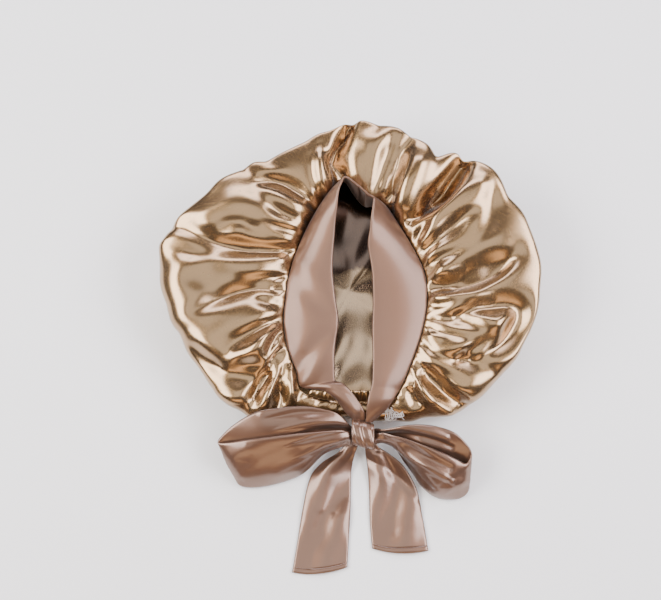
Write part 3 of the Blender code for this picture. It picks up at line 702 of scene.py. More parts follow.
# Soft lights. Columns: name, place, aimed at, width, height, brightness of the panel, colour.
MIDDLE = (-0.02, 0.05, 0.02)
LIGHTS = (
    ("overhead", (0.0, -0.16, 2.25), (0.0, 0.05, 0.0), 1.5, 1.9, 1.72, (1.0, 0.98, 0.95)),
    ("left", (-1.26, 0.05, 1.18), MIDDLE, 1.7, 0.90, 12.5, (1.0, 0.97, 0.96)),
    ("right", (1.24, 0.05, 1.18), MIDDLE, 1.7, 0.90, 11.5, (0.97, 0.94, 1.0)),
    ("back", (0.0, 1.50, 1.10), MIDDLE, 1.5, 0.55, 9.0, (0.94, 0.90, 1.0)),
    ("front", (0.0, -1.45, 0.76), MIDDLE, 1.6, 0.4, 3.6, (1.0, 0.66, 0.38)),
)
WORLD = (0.56, 0.62, 1.0)
WORLD_STRENGTH = 0.085

FULL_TURN = 2.0 * math.pi
made = {}


def mix(a, b, t):
    return a + (b - a) * t


def ramp(values, start, end):
    # Grows from 0 at start to 1 at end and stays there on either side.
    return np.clip((values - start) / (end - start), 0.0, 1.0)


def bell(values, middle, width, power=2):
    return np.exp(-((values - middle) / width) ** power)


def unit(vectors):
    return vectors / np.maximum(np.linalg.norm(vectors, axis=-1, keepdims=True), 1e-9)


def way_down(grid):
    # How far each point of a grid lies from its first row, measured down the grid.
    return np.linalg.norm(np.diff(grid, axis=0, prepend=grid[:1]), axis=-1).cumsum(axis=0)


def hermite(a, slope_a, b, slope_b, t):
    h1 = 2 * t ** 3 - 3 * t ** 2 + 1
    h2 = t ** 3 - 2 * t ** 2 + t
    h3 = 3 * t ** 2 - 2 * t ** 3
    h4 = t ** 3 - t ** 2
    return h1 * a + h2 * slope_a + h3 * b + h4 * slope_b


def read_rows(rows, places):
    # Smooth reading of a table whose first column grows, at many places at once.
    table = np.array(rows, float)
    keys, values = table[:, 0], table[:, 1:]
    last = len(keys) - 1
    places = np.clip(np.asarray(places, float), keys[0], keys[last])
    k = np.clip(np.searchsorted(keys, places, side="right") - 1, 0, last - 1)
    before, after = np.maximum(k - 1, 0), np.minimum(k + 2, last)
    span = keys[k + 1] - keys[k]
    t = ((places - keys[k]) / span)[..., None]
    span = span[..., None]
    slope_a = (values[k + 1] - values[before]) / (keys[k + 1] - keys[before])[..., None] * span
    slope_b = (values[after] - values[k]) / (keys[after] - keys[k])[..., None] * span
    return hermite(values[k], slope_a, values[k + 1], slope_b, t)


def round_table(rows):
    # A closed table, with some of its rows again before its start and after its end.
    head = [(row[0] - 1.0,) + row[1:] for row in rows[-3:]]
    tail = [(row[0] + 1.0,) + row[1:] for row in rows[:3]]
    return head + list(rows) + tail


SEAM_TABLE = round_table(SEAM_ROWS)
SEAM_SIZE = np.array((SEAM_HALF_LENGTH, SEAM_HALF_LENGTH, SEAM_HEIGHT))


def seam_points(places):
    return read_rows(SEAM_TABLE, np.mod(places, 1.0)) * SEAM_SIZE


# The middle of the knot, beside the nape, and of the crown's base.
KNOT_MIDDLE = np.array((KNOT_ACROSS, seam_points(0.0)[1] - KNOT_OUT, KNOT_UP))
CROWN_MIDDLE = np.array((0.0, CROWN_FORWARD, 0.0))

# part.py moves the whole model over the origin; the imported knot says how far.
knot_low, knot_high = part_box("bow_knot")
SHIFT = np.array((
    (knot_low.x + knot_high.x) * 500.0 - KNOT_MIDDLE[0],
    (knot_low.y + knot_high.y) * 500.0 - KNOT_MIDDLE[1],
    0.0,
))

RISE = math.radians(CAMERA_RISE)
CAMERA_BACK = np.array((0.0, -math.cos(RISE), math.sin(RISE)))
CAMERA_UP = np.array((0.0, math.sin(RISE), math.cos(RISE)))
CAMERA_PLACE = np.array(CAMERA_TARGET) + CAMERA_BACK * CAMERA_AWAY


def photo_pixels(points):
    # Where points of the model lie in the photograph.
    seen = points - CAMERA_PLACE
    depth = -(seen @ CAMERA_BACK)
    across = PHOTO_WIDE / 2.0 + seen[..., 0] * FOCAL / depth
    down = PHOTO_HIGH / 2.0 - (seen @ CAMERA_UP) * FOCAL / depth
    return across, down


def directions(heading, slope):
    flat = np.cos(np.radians(slope))
    turn = np.radians(heading)
    return np.stack((np.cos(turn) * flat, np.sin(turn) * flat, np.sin(np.radians(slope))), -1)


def strip_directions(places):
    # Which way the band or the casing stands on the seam.
    places = np.mod(places, 1.0)
    band = read_rows(BAND_ROWS, places)
    casing = read_rows(CASING_ROWS, np.where(places > 0.5, places - 1.0, places))
    on_band = (places >= BAND_LEFT_END) & (places <= BAND_RIGHT_END)
    heading = np.where(on_band, band[..., 0], casing[..., 0])
    slope = np.where(on_band, band[..., 1], casing[..., 1])
    return directions(heading, slope)


def grid_normals(grid, wrap=False):
    along_rows = np.gradient(grid, axis=0)
    if wrap:
        along_columns = (np.roll(grid, -1, axis=1) - np.roll(grid, 1, axis=1)) / 2.0
    else:
        along_columns = np.gradient(grid, axis=1)
    return unit(np.cross(along_columns, along_rows))


def softened(grid, rounds, wrap=False):
    # Evens out a grid a little, with its outline kept.
    for _ in range(rounds):
        inner = (grid[:-2] + grid[2:]) / 4.0 + grid[1:-1] / 2.0
        grid = np.concatenate((grid[:1], inner, grid[-1:]), axis=0)
        if wrap:
            grid = (np.roll(grid, 1, axis=1) + np.roll(grid, -1, axis=1)) / 4.0 + grid / 2.0
        else:
            inner = (grid[:, :-2] + grid[:, 2:]) / 4.0 + grid[:, 1:-1] / 2.0
            grid = np.concatenate((grid[:, :1], inner, grid[:, -1:]), axis=1)
    return grid


def noise(x, y, height, length, seed):
    # Smooth unevenness, the same on every run.
    pick = np.random.RandomState(seed)
    total = np.zeros_like(x)
    for _ in range(NOISE_WAVES):
        turn = pick.uniform(0.0, FULL_TURN)
        pitch = length * pick.uniform(*NOISE_PITCHES)
        phase = pick.uniform(0.0, FULL_TURN)
        total += np.sin((x * math.cos(turn) + y * math.sin(turn)) * FULL_TURN / pitch + phase)
    return height * (total / math.sqrt(NOISE_WAVES))


def fold_profile(gap, power):
    # A fold's height across it: even slopes, a rounded crest and a soft foot.
    flat = np.clip((power - 2.0) * FLAT_PER_POWER, 0.0, FLAT_MOST)
    crest = CREST_ROUND * (power / 2.0)
    way = np.sqrt(np.maximum(gap - flat, 0.0) ** 2 + crest ** 2) / (1.0 - 0.5 * flat)
    rest = 1.0 - way
    return (rest + np.sqrt(rest ** 2 + FOOT_ROUND ** 2)) / 2.0 * (gap < STROKE_END)


def stroke_lift(points, strokes, narrowest=0.5):
    # How far the strokes, drawn on the photograph, raise or sink the points given.
    across, down = photo_pixels(points)
    lift = np.zeros_like(across)
    for stroke in strokes:
        left, right, height, path, power = (*stroke, 2)[:5]
        table = [(k, *point, 1)[:4] for k, point in enumerate(path)]
        line = read_rows(table, np.linspace(0, len(path) - 1, (len(path) - 1) * STROKE_PIECES + 1))
        reach = SHARP_REACH if power < 2 else STROKE_REACH
        reach = max(left, right) * line[:, 2].max() * reach
        near = (across > line[:, 0].min() - reach) & (across < line[:, 0].max() + reach)
        near &= (down > line[:, 1].min() - reach) & (down < line[:, 1].max() + reach)
        x, y = across[near], down[near]
        best = np.full(x.shape, 1e9)
        value = np.zeros(x.shape)
        for a, b in zip(line[:-1], line[1:]):
            step_x, step_y = b[0] - a[0], b[1] - a[1]
            t = ((x - a[0]) * step_x + (y - a[1]) * step_y) / (step_x ** 2 + step_y ** 2)
            t = np.clip(t, 0.0, 1.0)
            away_x, away_y = x - a[0] - t * step_x, y - a[1] - t * step_y
            gap = np.hypot(away_x, away_y)
            size = np.maximum(mix(a[2], b[2], t), LEAST_SIZE)
            on_left = step_x * away_y - step_y * away_x < 0.0
            width = np.maximum(np.where(on_left, left, right) * size, narrowest) * STROKE_SPREAD
            value = np.where(gap < best, height * size * fold_profile(gap / width, power), value)
            best = np.minimum(gap, best)
        lift[near] += value
    return lift


def quads(index, flip=False):
    # Faces over a grid of vertex numbers.
    a, b = index[:-1, :-1].ravel(), index[1:, :-1].ravel()
    c, d = index[1:, 1:].ravel(), index[:-1, 1:].ravel()
    order = (a, b, c, d) if flip else (a, d, c, b)
    return np.stack(order, -1).tolist()


def fan(ring, middle):
    # Faces from a ring of vertex numbers to one in its middle.
    return [[int(a), int(b), middle] for a, b in zip(ring[:-1], ring[1:])]


def ring_index(rows, sides, first=0):
    # Vertex numbers of a grid that closes on itself round each row.
    index = first + np.arange(rows * sides).reshape(rows, sides)
    return np.concatenate((index, index[:, :1]), axis=1)


def add_object(name, data):
    thing = bpy.data.objects.new(name, data)
    bpy.context.scene.collection.objects.link(thing)
    return thing


def add_mesh(name, points, faces, cloth_places, material):
    mesh = bpy.data.meshes.new(name)
    points[:, 2] = np.maximum(points[:, 2], FLOOR_LIFT / 2.0)
    mesh.from_pydata(((points + SHIFT) / 1000.0).tolist(), [], faces)
    layer = mesh.uv_layers.new(name="cloth")
    corners = np.empty(len(mesh.loops), np.int32)
    mesh.loops.foreach_get("vertex_index", corners)
    layer.data.foreach_set("uv", cloth_places[corners].astype(np.float32).ravel())
    mesh.materials.append(material)
    mesh.update()
    mesh.shade_smooth()
    made[name] = add_object(name, mesh)
    return made[name]


def ribbon(centre, wall, flip=False):
    # Cloth of some thickness with rounded edges: two faces that meet along the outline.
    stations, lines = centre.shape[:2]
    normals = grid_normals(centre) * (-1.0 if flip else 1.0)
    length = np.linalg.norm(np.diff(centre[:, lines // 2], axis=0), axis=-1).sum()
    width = np.linalg.norm(np.diff(centre[stations // 2], axis=0), axis=-1).sum()
    s = np.linspace(-1.0, 1.0, stations)
    t = np.linspace(-1.0, 1.0, lines)
    edge = np.sqrt(np.clip(1.0 - np.abs(t) ** (width / wall * EDGE_SHARPNESS), 0.0, 1.0))
    end = np.sqrt(np.clip(1.0 - np.abs(s) ** (length / wall * EDGE_SHARPNESS), 0.0, 1.0))
    offset = normals * (wall / 2.0 * end[:, None] * edge[None, :])[..., None]
    front, back = centre + offset, centre - offset
    count, inner = stations * lines, (stations - 2, lines - 2)
    index = np.arange(count).reshape(stations, lines)
    under = index.copy()
    under[1:-1, 1:-1] = count + np.arange(inner[0] * inner[1]).reshape(inner)
    points = np.concatenate((front.reshape(-1, 3), back[1:-1, 1:-1].reshape(-1, 3)))
    along_cloth = np.linspace(0.0, length / 1000.0, stations)
    across_cloth = np.linspace(0.0, width / 1000.0, lines)
    places = np.stack(np.meshgrid(across_cloth, along_cloth), -1)
    places = np.concatenate((places.reshape(-1, 2), places[1:-1, 1:-1].reshape(-1, 2)))
    return points, quads(index, flip) + quads(under, not flip), places


def lay_between(controls, rows_per_span):
    # Smooth lines down the first axis of a set of control rings.
    chords = np.maximum(np.linalg.norm(np.diff(controls, axis=0), axis=-1), 1e-6)
    last = len(controls) - 1
    rows = []
    for k in range(last):
        before, after = max(k - 1, 0), min(k + 2, last)
        here = chords[k]
        back = here + chords[k - 1] if k > 0 else here
        ahead = here + chords[k + 1] if k < last - 1 else here
        slope_a = (controls[k + 1] - controls[before]) * (here / back)[:, None]
        slope_b = (controls[after] - controls[k]) * (here / ahead)[:, None]
        for t in np.arange(rows_per_span[k]) / rows_per_span[k]:
            rows.append(hermite(controls[k], slope_a, controls[k + 1], slope_b, t))
    return np.array(rows + [controls[-1]])


def crown_controls(folds):
    # Rings from the seam over the rim and under to the base, at the fold numbers given.
    table = np.array(CROWN_FOLDS)
    following = np.roll(table, -1, axis=0)
    following[-1, :2] += (1.0, 360.0)
    k = np.floor(folds).astype(int)
    step = folds - k
    here, there = table[k], following[k]
    crease = np.where((step <= 0.5)[:, None], here, there)
    share = np.sin(np.pi * step) ** FOLD_FULLNESS
    place = mix(here[:, 0], there[:, 0], step)
    bearing = np.radians(mix(here[:, 1], there[:, 1], step))
    reach = mix(crease[:, 2], here[:, 5], share) * CROWN_HALF
    sunk = CREASE_DEPTH * (1.0 - np.sin(np.pi * step) ** CREASE_SHARPNESS)
    inner, outer = (mix(here[:, 6:], crease[:, 3:5], sunk[:, None]) * PUFF_RISE).T
    rim = np.stack((
        -np.sin(bearing) * reach,
        CROWN_FORWARD - np.cos(bearing) * reach,
        mix(RIM_LOW, RIM_HIGH, np.sin(bearing / 2.0) ** 2),
    ), -1)
    seam = seam_points(place)
    side = strip_directions(place)
    away = unit(rim[:, :2] - seam[:, :2])
    beside = (BAND_WALL / 2.0 + SEAM_GAP) * side[:, 2] ** 2
    start = seam - side * (SEAM_GAP + CROWN_WALL / 4.0)
    start[:, :2] += away * beside[:, None]
    turn = np.degrees(bearing) % 360.0
    full = ramp(turn, *FULL_LEFT) * ramp(360.0 - turn, *FULL_RIGHT)
    rings = []
    for way, fall, inner_share, outer_share, full_fall, full_share in CROWN_RINGS:
        ring = mix(start, rim, way)
        fall = mix(fall, full_fall, full)
        ring[:, 2] = mix(start[:, 2], rim[:, 2], fall) + inner * inner_share
        ring[:, 2] += outer * mix(outer_share, full_share, full)
        rings.append(ring)
    for share, height in UNDER_RINGS:
        ring = mix(CROWN_MIDDLE, rim, share)
        ring[:, 2] = rim[:, 2] * height
        rings.append(ring)
    return np.array(rings), place, bearing


def even_folds():
    # Fold numbers spread so that the columns are about evenly spaced in the cloth.
    fine = np.linspace(0.0, len(CROWN_FOLDS), FOLD_SAMPLES + 1)[:-1]
    _, place, bearing = crown_controls(fine)
    spread = place * SEAM_WEIGHT + bearing / FULL_TURN * (1.0 - SEAM_WEIGHT)
    return np.interp(np.arange(CROWN_COLUMNS) / CROWN_COLUMNS, spread, fine)


def seam_gathers(place, from_seam):
    # Small pleats that run out from the seam, each with its own length.
    pick = np.random.RandomState(GATHER_SEED)
    lift = np.zeros_like(from_seam)
    for k in range(GATHERS):
        middle = (k + pick.uniform(-GATHER_STRAY, GATHER_STRAY)) / GATHERS
        length = pick.uniform(*GATHER_LENGTHS)
        rise = GATHER_RISE * pick.uniform(*GATHER_RISES)
        sway = pick.uniform(-GATHER_SWAY, GATHER_SWAY) / GATHERS
        out = ramp(from_seam, 0.0, length)
        gap = np.mod(place[None, :] - middle - sway * out + 0.5, 1.0) - 0.5
        width = GATHER_WIDTH / GATHERS * (1.0 + GATHER_SPREAD * out)
        lift += rise * bell(gap, 0.0, width) * (1.0 - out) ** 2 * (1.0 + 2.0 * out)
    return lift


def crown_lift(grid, place, from_seam):
    # How far the folds of the photograph, the gathers and unevenness raise the crown.
    x, y = grid[..., 0], grid[..., 1]
    held = ramp(from_seam, *FOLDS_START)
    lift = stroke_lift(grid, CROWN_STROKES, NARROWEST) * held * STROKE_SHARE
    lift += noise(x, y, *SOFT_NOISE) * held
    lift += noise(x, y, *FINE_NOISE)
    gathers = seam_gathers(place, from_seam)
    lift += gathers * np.maximum(ramp(from_seam, 0.0, GATHER_FULL), GATHER_LEAST)
    sink = GATHER_SINK * bell(from_seam, GATHER_SINK_PLACE, GATHER_SINK_LENGTH)
    return lift - sink * ramp(from_seam, 0.0, GATHER_SINK_START)


def through(before, a, b, after, t):
    # Smooth way from a to b that fits what lies before and after them.
    return hermite(a, (b - before) / 2.0, b, (after - a) / 2.0, t)


def between(grid, rows, columns):
    # Smooth reading of a closed ring grid at fractions of its rows and columns.
    last = len(grid) - 1
    k = np.clip(np.floor(rows).astype(int), 0, last - 1)
    near = [grid[np.clip(k + step, 0, last)] for step in (-1, 0, 1, 2)]
    grid = through(*near, (rows - k)[:, None, None])
    k = np.floor(columns).astype(int)
    near = [grid[:, (k + step) % grid.shape[1]] for step in (-1, 0, 1, 2)]
    return through(*near, (columns - k)[None, :, None])


def settled(grid, held):
    # Lets Blender's cloth settle a closed ring grid with some spare cloth in it.
    rows, columns = grid.shape[:2]
    index = ring_index(rows, columns)
    mesh = bpy.data.meshes.new("settling")
    mesh.from_pydata((grid.reshape(-1, 3) * CLOTH_SCALE).tolist(), [], quads(index))
    piece = add_object("settling", mesh)
    group = piece.vertex_groups.new(name="held")
    held = held.round(2)
    for share in np.unique(held[held > 0.0]):
        group.add(index[held == share, :-1].ravel().tolist(), float(share), "REPLACE")
    cloth = piece.modifiers.new("Cloth", "CLOTH")
    for name, value in CLOTH_SETTINGS.items():
        setattr(cloth.settings, name, value)
    cloth.settings.vertex_group_mass = "held"
    cloth.settings.effector_weights.gravity = 0.0
    cloth.collision_settings.use_collision = False
    for moment in range(1, CLOTH_FRAMES + 1):
        bpy.context.scene.frame_set(moment)
    shape = piece.evaluated_get(bpy.context.evaluated_depsgraph_get()).data
    places = np.empty(rows * columns * 3, np.float32)
    shape.vertices.foreach_get("co", places)
    bpy.context.scene.frame_set(1)
    bpy.data.objects.remove(piece)
    return places.reshape(rows, columns, 3).astype(float) / CLOTH_SCALE


def settle_crown(grid):
    # The seam and the underside are held; the rest moves by a softened share of the settling.
    coarse_rows = np.linspace(0.0, len(grid) - 1.0, SETTLE_ROWS)
    coarse = between(grid, coarse_rows, np.arange(0.0, CROWN_COLUMNS, SETTLE_STEP))
    at_rim = ramp(coarse_rows, *HELD_RIM)
    held = np.maximum(ramp(coarse_rows, HELD_ROWS, 0.0) ** 2, at_rim)
    moved = softened(settled(coarse, held) - coarse, MOVE_SOFTENING, wrap=True) * MOVE_SHARE
    fine_rows = np.interp(np.arange(len(grid)), coarse_rows, np.arange(SETTLE_ROWS))
    return grid + between(moved, fine_rows, np.arange(CROWN_COLUMNS) / SETTLE_STEP)


def hang_side(grid, bearing, rows):
    # Folds down the side of the bag, from the rim at depth 0 to the base at 1.
    depth = (rows - TOP_ROWS) / SIDE_ROWS
    wave = sum(share * np.sin(count * bearing[None, :] + start + slant * depth)
               for count, share, start, slant in SIDE_FOLDS)
    wave = 0.5 - 0.5 * np.tanh(wave * SIDE_FOLD_PUSH)
    drop = SIDE_FOLD_DEPTH * wave * ramp(depth, *SIDE_FOLD_START) * ramp(depth, *SIDE_FOLD_END)
    grid[..., :2] -= unit(grid[..., :2] - CROWN_MIDDLE[:2]) * drop[..., None]


def crease_floor(grid, rows):
    # Folds and wrinkles of the crown's floor, which shows inside the opening.
    x, y = grid[..., 0], grid[..., 1]
    wander = noise(x, y, *FLOOR_WANDER)
    rise = read_rows(FLOOR_RISE, y + FLOOR_SLANT * x + wander)[..., 0]
    rise *= bell(x, FLOOR_RISE_MIDDLE, FLOOR_RISE_WIDTH, 4)
    rise += noise(x, y, *FLOOR_WRINKLE) + FLOOR_LIFTED
    grid[..., 2] += rise * ramp(rows, *FLOOR_ROWS)
    grid[..., 2] = np.maximum(grid[..., 2], CROWN_LOWEST)


def even_out(grid, from_seam, lift, rows, on_top):
    # Softens the crown: less at the seam, at the rim and in its deepest folds.
    close = softened(grid, SEAM_SOFTENING, wrap=True)
    away = softened(close, CLOTH_SOFTENING, wrap=True)
    soft = ramp(from_seam, 0.0, SOFT_FROM_SEAM)
    soft *= 1.0 - RIM_CRISP * bell(rows, TOP_ROWS, RIM_CRISP_ROWS)
    soft *= 1.0 - CRISP_SHARE * ramp(-lift, CRISP_FROM, 2.0 * CRISP_FROM) * on_top
    return np.concatenate((grid[:1], mix(close, away, soft[..., None])[1:]), axis=0)


def paint_lining_light_and_shade(crown, points, last_row):
    # The tint of the wrong side of the cloth: lighter where light falls in, which is painted
    # light, and darker further in towards the forehead, which is painted shade.
    ring = np.minimum(np.arange(len(points)) // CROWN_COLUMNS, last_row)
    inside = ramp(ring, *LINING_ROWS)
    edge = PAINTED_SHADE_EDGE + PAINTED_SHADE_WAVE * np.sin(points[:, 0] * PAINTED_SHADE_WAVE_PITCH)
    deep = ramp(points[:, 1] - edge, 0.0, PAINTED_SHADE_BLEND)
    # Painted light where light falls in, going over into painted shade further in.
    painted_light_and_shade = mix(np.array(LINING_PAINTED_LIGHT), np.array(LINING_PAINTED_SHADE), deep[:, None])
    tint = np.ones((len(points), 4))
    tint[:, :3] = mix(np.ones(3), painted_light_and_shade, inside[:, None])
    layer = crown.data.attributes.new("tint", "FLOAT_COLOR", "POINT")
    layer.data.foreach_set("color", tint.astype(np.float32).ravel())


def build_crown(material):
    # One sheet from the seam over the rim and under to the middle of the base.
    folds = even_folds()
    controls, place, bearing = crown_controls(folds)
    grid = lay_between(controls, CROWN_SPAN_ROWS)
    shares = np.linspace(1.0, BASE_HOLE, BASE_ROWS + 1)[1:]
    grid = np.concatenate((grid, mix(CROWN_MIDDLE, grid[-1], shares[:, None, None])))
    rows = np.arange(len(grid))[:, None]
    on_top = ramp(rows, *TOP_END)
    from_seam = way_down(grid)
    lift = crown_lift(grid, place, from_seam)
    grid = grid + grid_normals(grid, wrap=True) * (lift * on_top)[..., None]
    grid = settle_crown(grid)
    hang_side(grid, bearing, rows)
    crease_floor(grid, rows)
    grid = even_out(grid, from_seam, lift, rows, on_top)
    whole = way_down(grid)
    from_middle = (whole[-1] - whole).mean(axis=1) / whole[-1].mean() * CROWN_CUT / 2.0
    turn = folds / len(CROWN_FOLDS) * FULL_TURN
    around = np.stack((np.cos(turn), np.sin(turn)), -1)
    places = from_middle[:, None, None] * around
    places = np.concatenate((places.reshape(-1, 2), np.zeros((1, 2))))
    points = np.concatenate((grid.reshape(-1, 3), grid[-1].mean(axis=0)[None]))
    index = ring_index(len(grid), CROWN_COLUMNS)
    faces = quads(index) + fan(index[-1], len(points) - 1)
    crown = add_mesh("crown_cloth", points, faces, places, material)
    paint_lining_light_and_shade(crown, points, len(grid) - 1)
    return crown


def strip_grid(sections, lines):
    # A sheet over sections of two edges and a bulge that lifts its middle.
    edge_a, edge_b, bulge = sections[:, 0:3], sections[:, 3:6], sections[:, 6]
    side = edge_b - edge_a
    flat = np.maximum(np.hypot(side[:, 0], side[:, 1]), 1e-6)
    length = np.maximum(np.hypot(flat, side[:, 2]), 1e-6)
    lift = np.stack((
        -side[:, 0] / flat * side[:, 2] / length,
        -side[:, 1] / flat * side[:, 2] / length,
        flat / length,
    ), -1)
    t = np.linspace(0.0, 1.0, lines + 1)[None, :, None]
    rise = 4.0 * t * (1.0 - t) * bulge[:, None, None]
    return edge_a[:, None] + side[:, None] * t + lift[:, None] * rise


def smooth_sections(rows, stations):
    table = [(float(k),) + tuple(row) for k, row in enumerate(rows)]
    return read_rows(table, np.linspace(0.0, len(rows) - 1.0, stations))


def band_sections(places):
    heading, slope, width, bulge = read_rows(BAND_ROWS, places).T
    outer = seam_points(places)
    inner = outer + directions(heading, slope) * (width * BAND_WIDTH)[:, None]
    return np.concatenate((outer, inner, (bulge * BAND_WIDTH)[:, None]), axis=1)


def neck_rows(panel, root, rows):
    sections = []
    for row in rows:
        edges = mix(panel[:6], root[:6], row[0]) + np.array(row[1:7]) * BAND_WIDTH
        sections.append([*edges, row[7] * BAND_WIDTH])
    return sections


def neck_root(shares):
    # Where an end of the band meets the knot.
    middle = KNOT_MIDDLE + np.array((0.0, KNOT_LENGTH / 2.0 + PIECE_GAP, 0.0))
    size = np.array((KNOT_WIDTH, KNOT_LENGTH, KNOT_HEIGHT))
    return [*(middle + shares[:3] * size), *(middle + shares[3:] * size), ROOT_BULGE * BAND_WIDTH]


def build_band(material):
    left_panel, right_panel = band_sections(np.array((BAND_LEFT_END, BAND_RIGHT_END)))
    left_root, right_root = neck_root(LEFT_ROOT), neck_root(RIGHT_ROOT)
    left = neck_rows(left_panel, left_root, LEFT_NECK)[::-1]
    right = neck_rows(right_panel, right_root, RIGHT_NECK)
    left = smooth_sections([left_root, *left, left_panel], NECK_STATIONS)[:-1]
    right = smooth_sections([right_panel, *right, right_root], NECK_STATIONS)[1:]
    panel = band_sections(np.linspace(BAND_LEFT_END, BAND_RIGHT_END, BAND_STATIONS))
    sections = np.concatenate((left, panel, right))[:, None]
    grid = strip_grid(softened(sections, BAND_SOFTENING, wrap=True)[:, 0], BAND_LINES)
    station = np.arange(len(sections))[:, None]
    on_panel = (station > NECK_STATIONS) & (station < NECK_STATIONS + BAND_STATIONS)
    lift = stroke_lift(grid, BAND_STROKES) * on_panel
    lift += stroke_lift(grid, NECK_STROKES) * (station < NECK_STATIONS)
    grid = grid - grid_normals(grid) * lift[..., None]
    return add_mesh("band_cloth", *ribbon(grid, BAND_WALL), material)


def build_casing(material):
    places = np.linspace(CASING_ROWS[0][0], CASING_ROWS[-1][0], CASING_STATIONS)
    heading, slope, width = read_rows(CASING_ROWS, places).T
    lower = seam_points(places)
    upper = lower + directions(heading, slope) * (width * CASING_WIDTH)[:, None]
    bulge = np.full((len(places), 1), CASING_BULGE)
    grid = strip_grid(np.concatenate((lower, upper, bulge), axis=1), CASING_LINES)
    turn = np.linspace(0.0, CASING_RUFFLES * FULL_TURN, CASING_STATIONS)[:, None]
    share = np.linspace(CASING_SEAM_RUFFLE, 1.0, CASING_LINES + 1)[None]
    sway = CASING_SWAY[0] * np.sin(turn * CASING_SWAY[1])
    drift = CASING_DRIFT[0] * np.sin(turn * CASING_DRIFT[1])
    ruffle = np.sin(turn + sway) + drift
    grid = grid + grid_normals(grid) * (CASING_RUFFLE * ruffle * share)[..., None]
    return add_mesh("casing_cloth", *ribbon(grid, CASING_WALL), material)


def build_loop(name, rows, reach, side, strokes, rear_strokes, material):
    # A loop on the left, side -1, or on the right, side 1.
    root = KNOT_MIDDLE[0] + side * (KNOT_WIDTH / 2.0 + PIECE_GAP)
    low = LOOP_WALL / 2.0 + FLOOR_LIFT
    start = np.array((root, KNOT_MIDDLE[1], low) * 2 + (0.0,))
    size = np.array((side * reach, BAND_WIDTH, LOOP_HEIGHT) * 2 + (BAND_WIDTH,))
    grid = strip_grid(smooth_sections(start + np.array(rows) * size, LOOP_STATIONS), LOOP_LINES)
    rear = ramp(np.linspace(0.0, 1.0, LOOP_STATIONS), *LOOP_TURN)[:, None]
    lift = stroke_lift(grid, strokes) * (1.0 - rear) + stroke_lift(grid, rear_strokes) * rear
    lift *= ramp(np.linspace(0.0, 1.0, LOOP_LINES + 1)[None, :], 0.0, LOOP_EDGE)
    up = grid_normals(grid)
    up *= np.sign(up[..., 2:3] + 1e-6)
    return add_mesh(name, *ribbon(grid + up * lift[..., None], LOOP_WALL, side > 0), material)


def tail_plan(row, share, length, t):
    # Places on a tail seen from above: share runs along it and t across it.
    left, right, slant = row[0], row[1], row[5]
    x = KNOT_MIDDLE[0] + mix(left, right, t) * BAND_WIDTH
    y = KNOT_MIDDLE[1] - TAIL_TUCK * KNOT_LENGTH - share * length
    y = y + slant * (0.5 - t) * BAND_WIDTH - HEM_SAG * 4.0 * t * (1.0 - t) * share
    return x, y


def build_tail(name, rows, length, strokes, material):
    low = TAIL_WALL / 2.0 + FLOOR_LIFT
    drop = KNOT_MIDDLE[2] - KNOT_HEIGHT * KNOT_UNDERSIDE - PIECE_GAP - TAIL_WALL / 2.0 - low
    share = np.linspace(0.0, 1.0, TAIL_STATIONS)
    row = read_rows(rows, share).T[:, :, None]
    left_up, right_up, ripple = row[2:5]
    share = share[:, None]
    t = np.linspace(0.0, 1.0, TAIL_LINES + 1)[None, :]
    x, y = tail_plan(row, share, length, t)
    wave = 0.5 - 0.5 * np.cos(FULL_TURN * (t + share * TAIL_SHIFT))
    z = low + mix(left_up, right_up, t) * drop
    z = z + ripple * BAND_WIDTH * wave * np.sin(math.pi * t)
    lift = stroke_lift(np.stack((x, y, z), -1), strokes)
    lift += noise(x, y, *TAIL_NOISE)
    z += lift * ramp(share, 0.0, TAIL_START)
    to_hem = (1.0 - share) * length
    z += HEM_RISE * ramp(to_hem, HEM_DEEP, HEM_DEEP - HEM_STEP)
    z -= HEM_GROOVE * bell(to_hem, HEM_DEEP + HEM_GROOVE_WIDTH, HEM_GROOVE_WIDTH)
    z = np.maximum(z, mix(low, z, TAIL_DIP))
    return add_mesh(name, *ribbon(np.stack((x, y, z), -1), TAIL_WALL), material)


def build_knot(material):
    r = np.linspace(0.0, 1.0, KNOT_RINGS)[:, None]
    angle = np.linspace(0.0, FULL_TURN, KNOT_SIDES + 1)[None, :-1]
    swell = np.sin(math.pi * mix(KNOT_PINCH, 1.0 - KNOT_PINCH, r)) ** KNOT_ROUNDNESS
    ends = np.sqrt(np.clip(1.0 - np.abs(2.0 * r - 1.0) ** KNOT_END_SHARPNESS, 0.0, 1.0))
    swing = KNOT_SWING * np.sin(angle + KNOT_SWING_AT)
    phase = KNOT_TURNS * math.pi * r + swing + KNOT_START
    wide, fine = np.sin(phase) ** 6, np.sin(KNOT_FINE_RATE * phase + 1.0) ** 4
    crease = 1.0 - KNOT_CREASE * wide - KNOT_FINE_CREASE * fine
    size = swell * crease * mix(KNOT_END, 1.0, ends) * KNOT_FULLNESS / 2.0
    along = (r - 0.5) + 0.0 * angle
    grid = KNOT_MIDDLE + np.stack((
        along * (KNOT_WIDTH + PIECE_GAP),
        np.cos(angle) * KNOT_LENGTH * size * KNOT_STRETCH + along * KNOT_SLANT,
        np.sin(angle) * KNOT_HEIGHT * size,
    ), -1)
    index = ring_index(KNOT_RINGS, KNOT_SIDES)
    count = KNOT_RINGS * KNOT_SIDES
    faces = quads(index, True) + fan(index[0, ::-1], count) + fan(index[-1], count + 1)
    points = np.concatenate((grid.reshape(-1, 3), grid[0].mean(0)[None], grid[-1].mean(0)[None]))
    around = np.linspace(0.0, KNOT_ROUND_WAY, KNOT_SIDES)
    places = np.stack(np.meshgrid(around, np.linspace(0.0, KNOT_WIDTH / 1000.0, KNOT_RINGS)), -1)
    places = np.concatenate((places.reshape(-1, 2), np.zeros((2, 2))))
    return add_mesh("knot_cloth", points, faces, places, material)


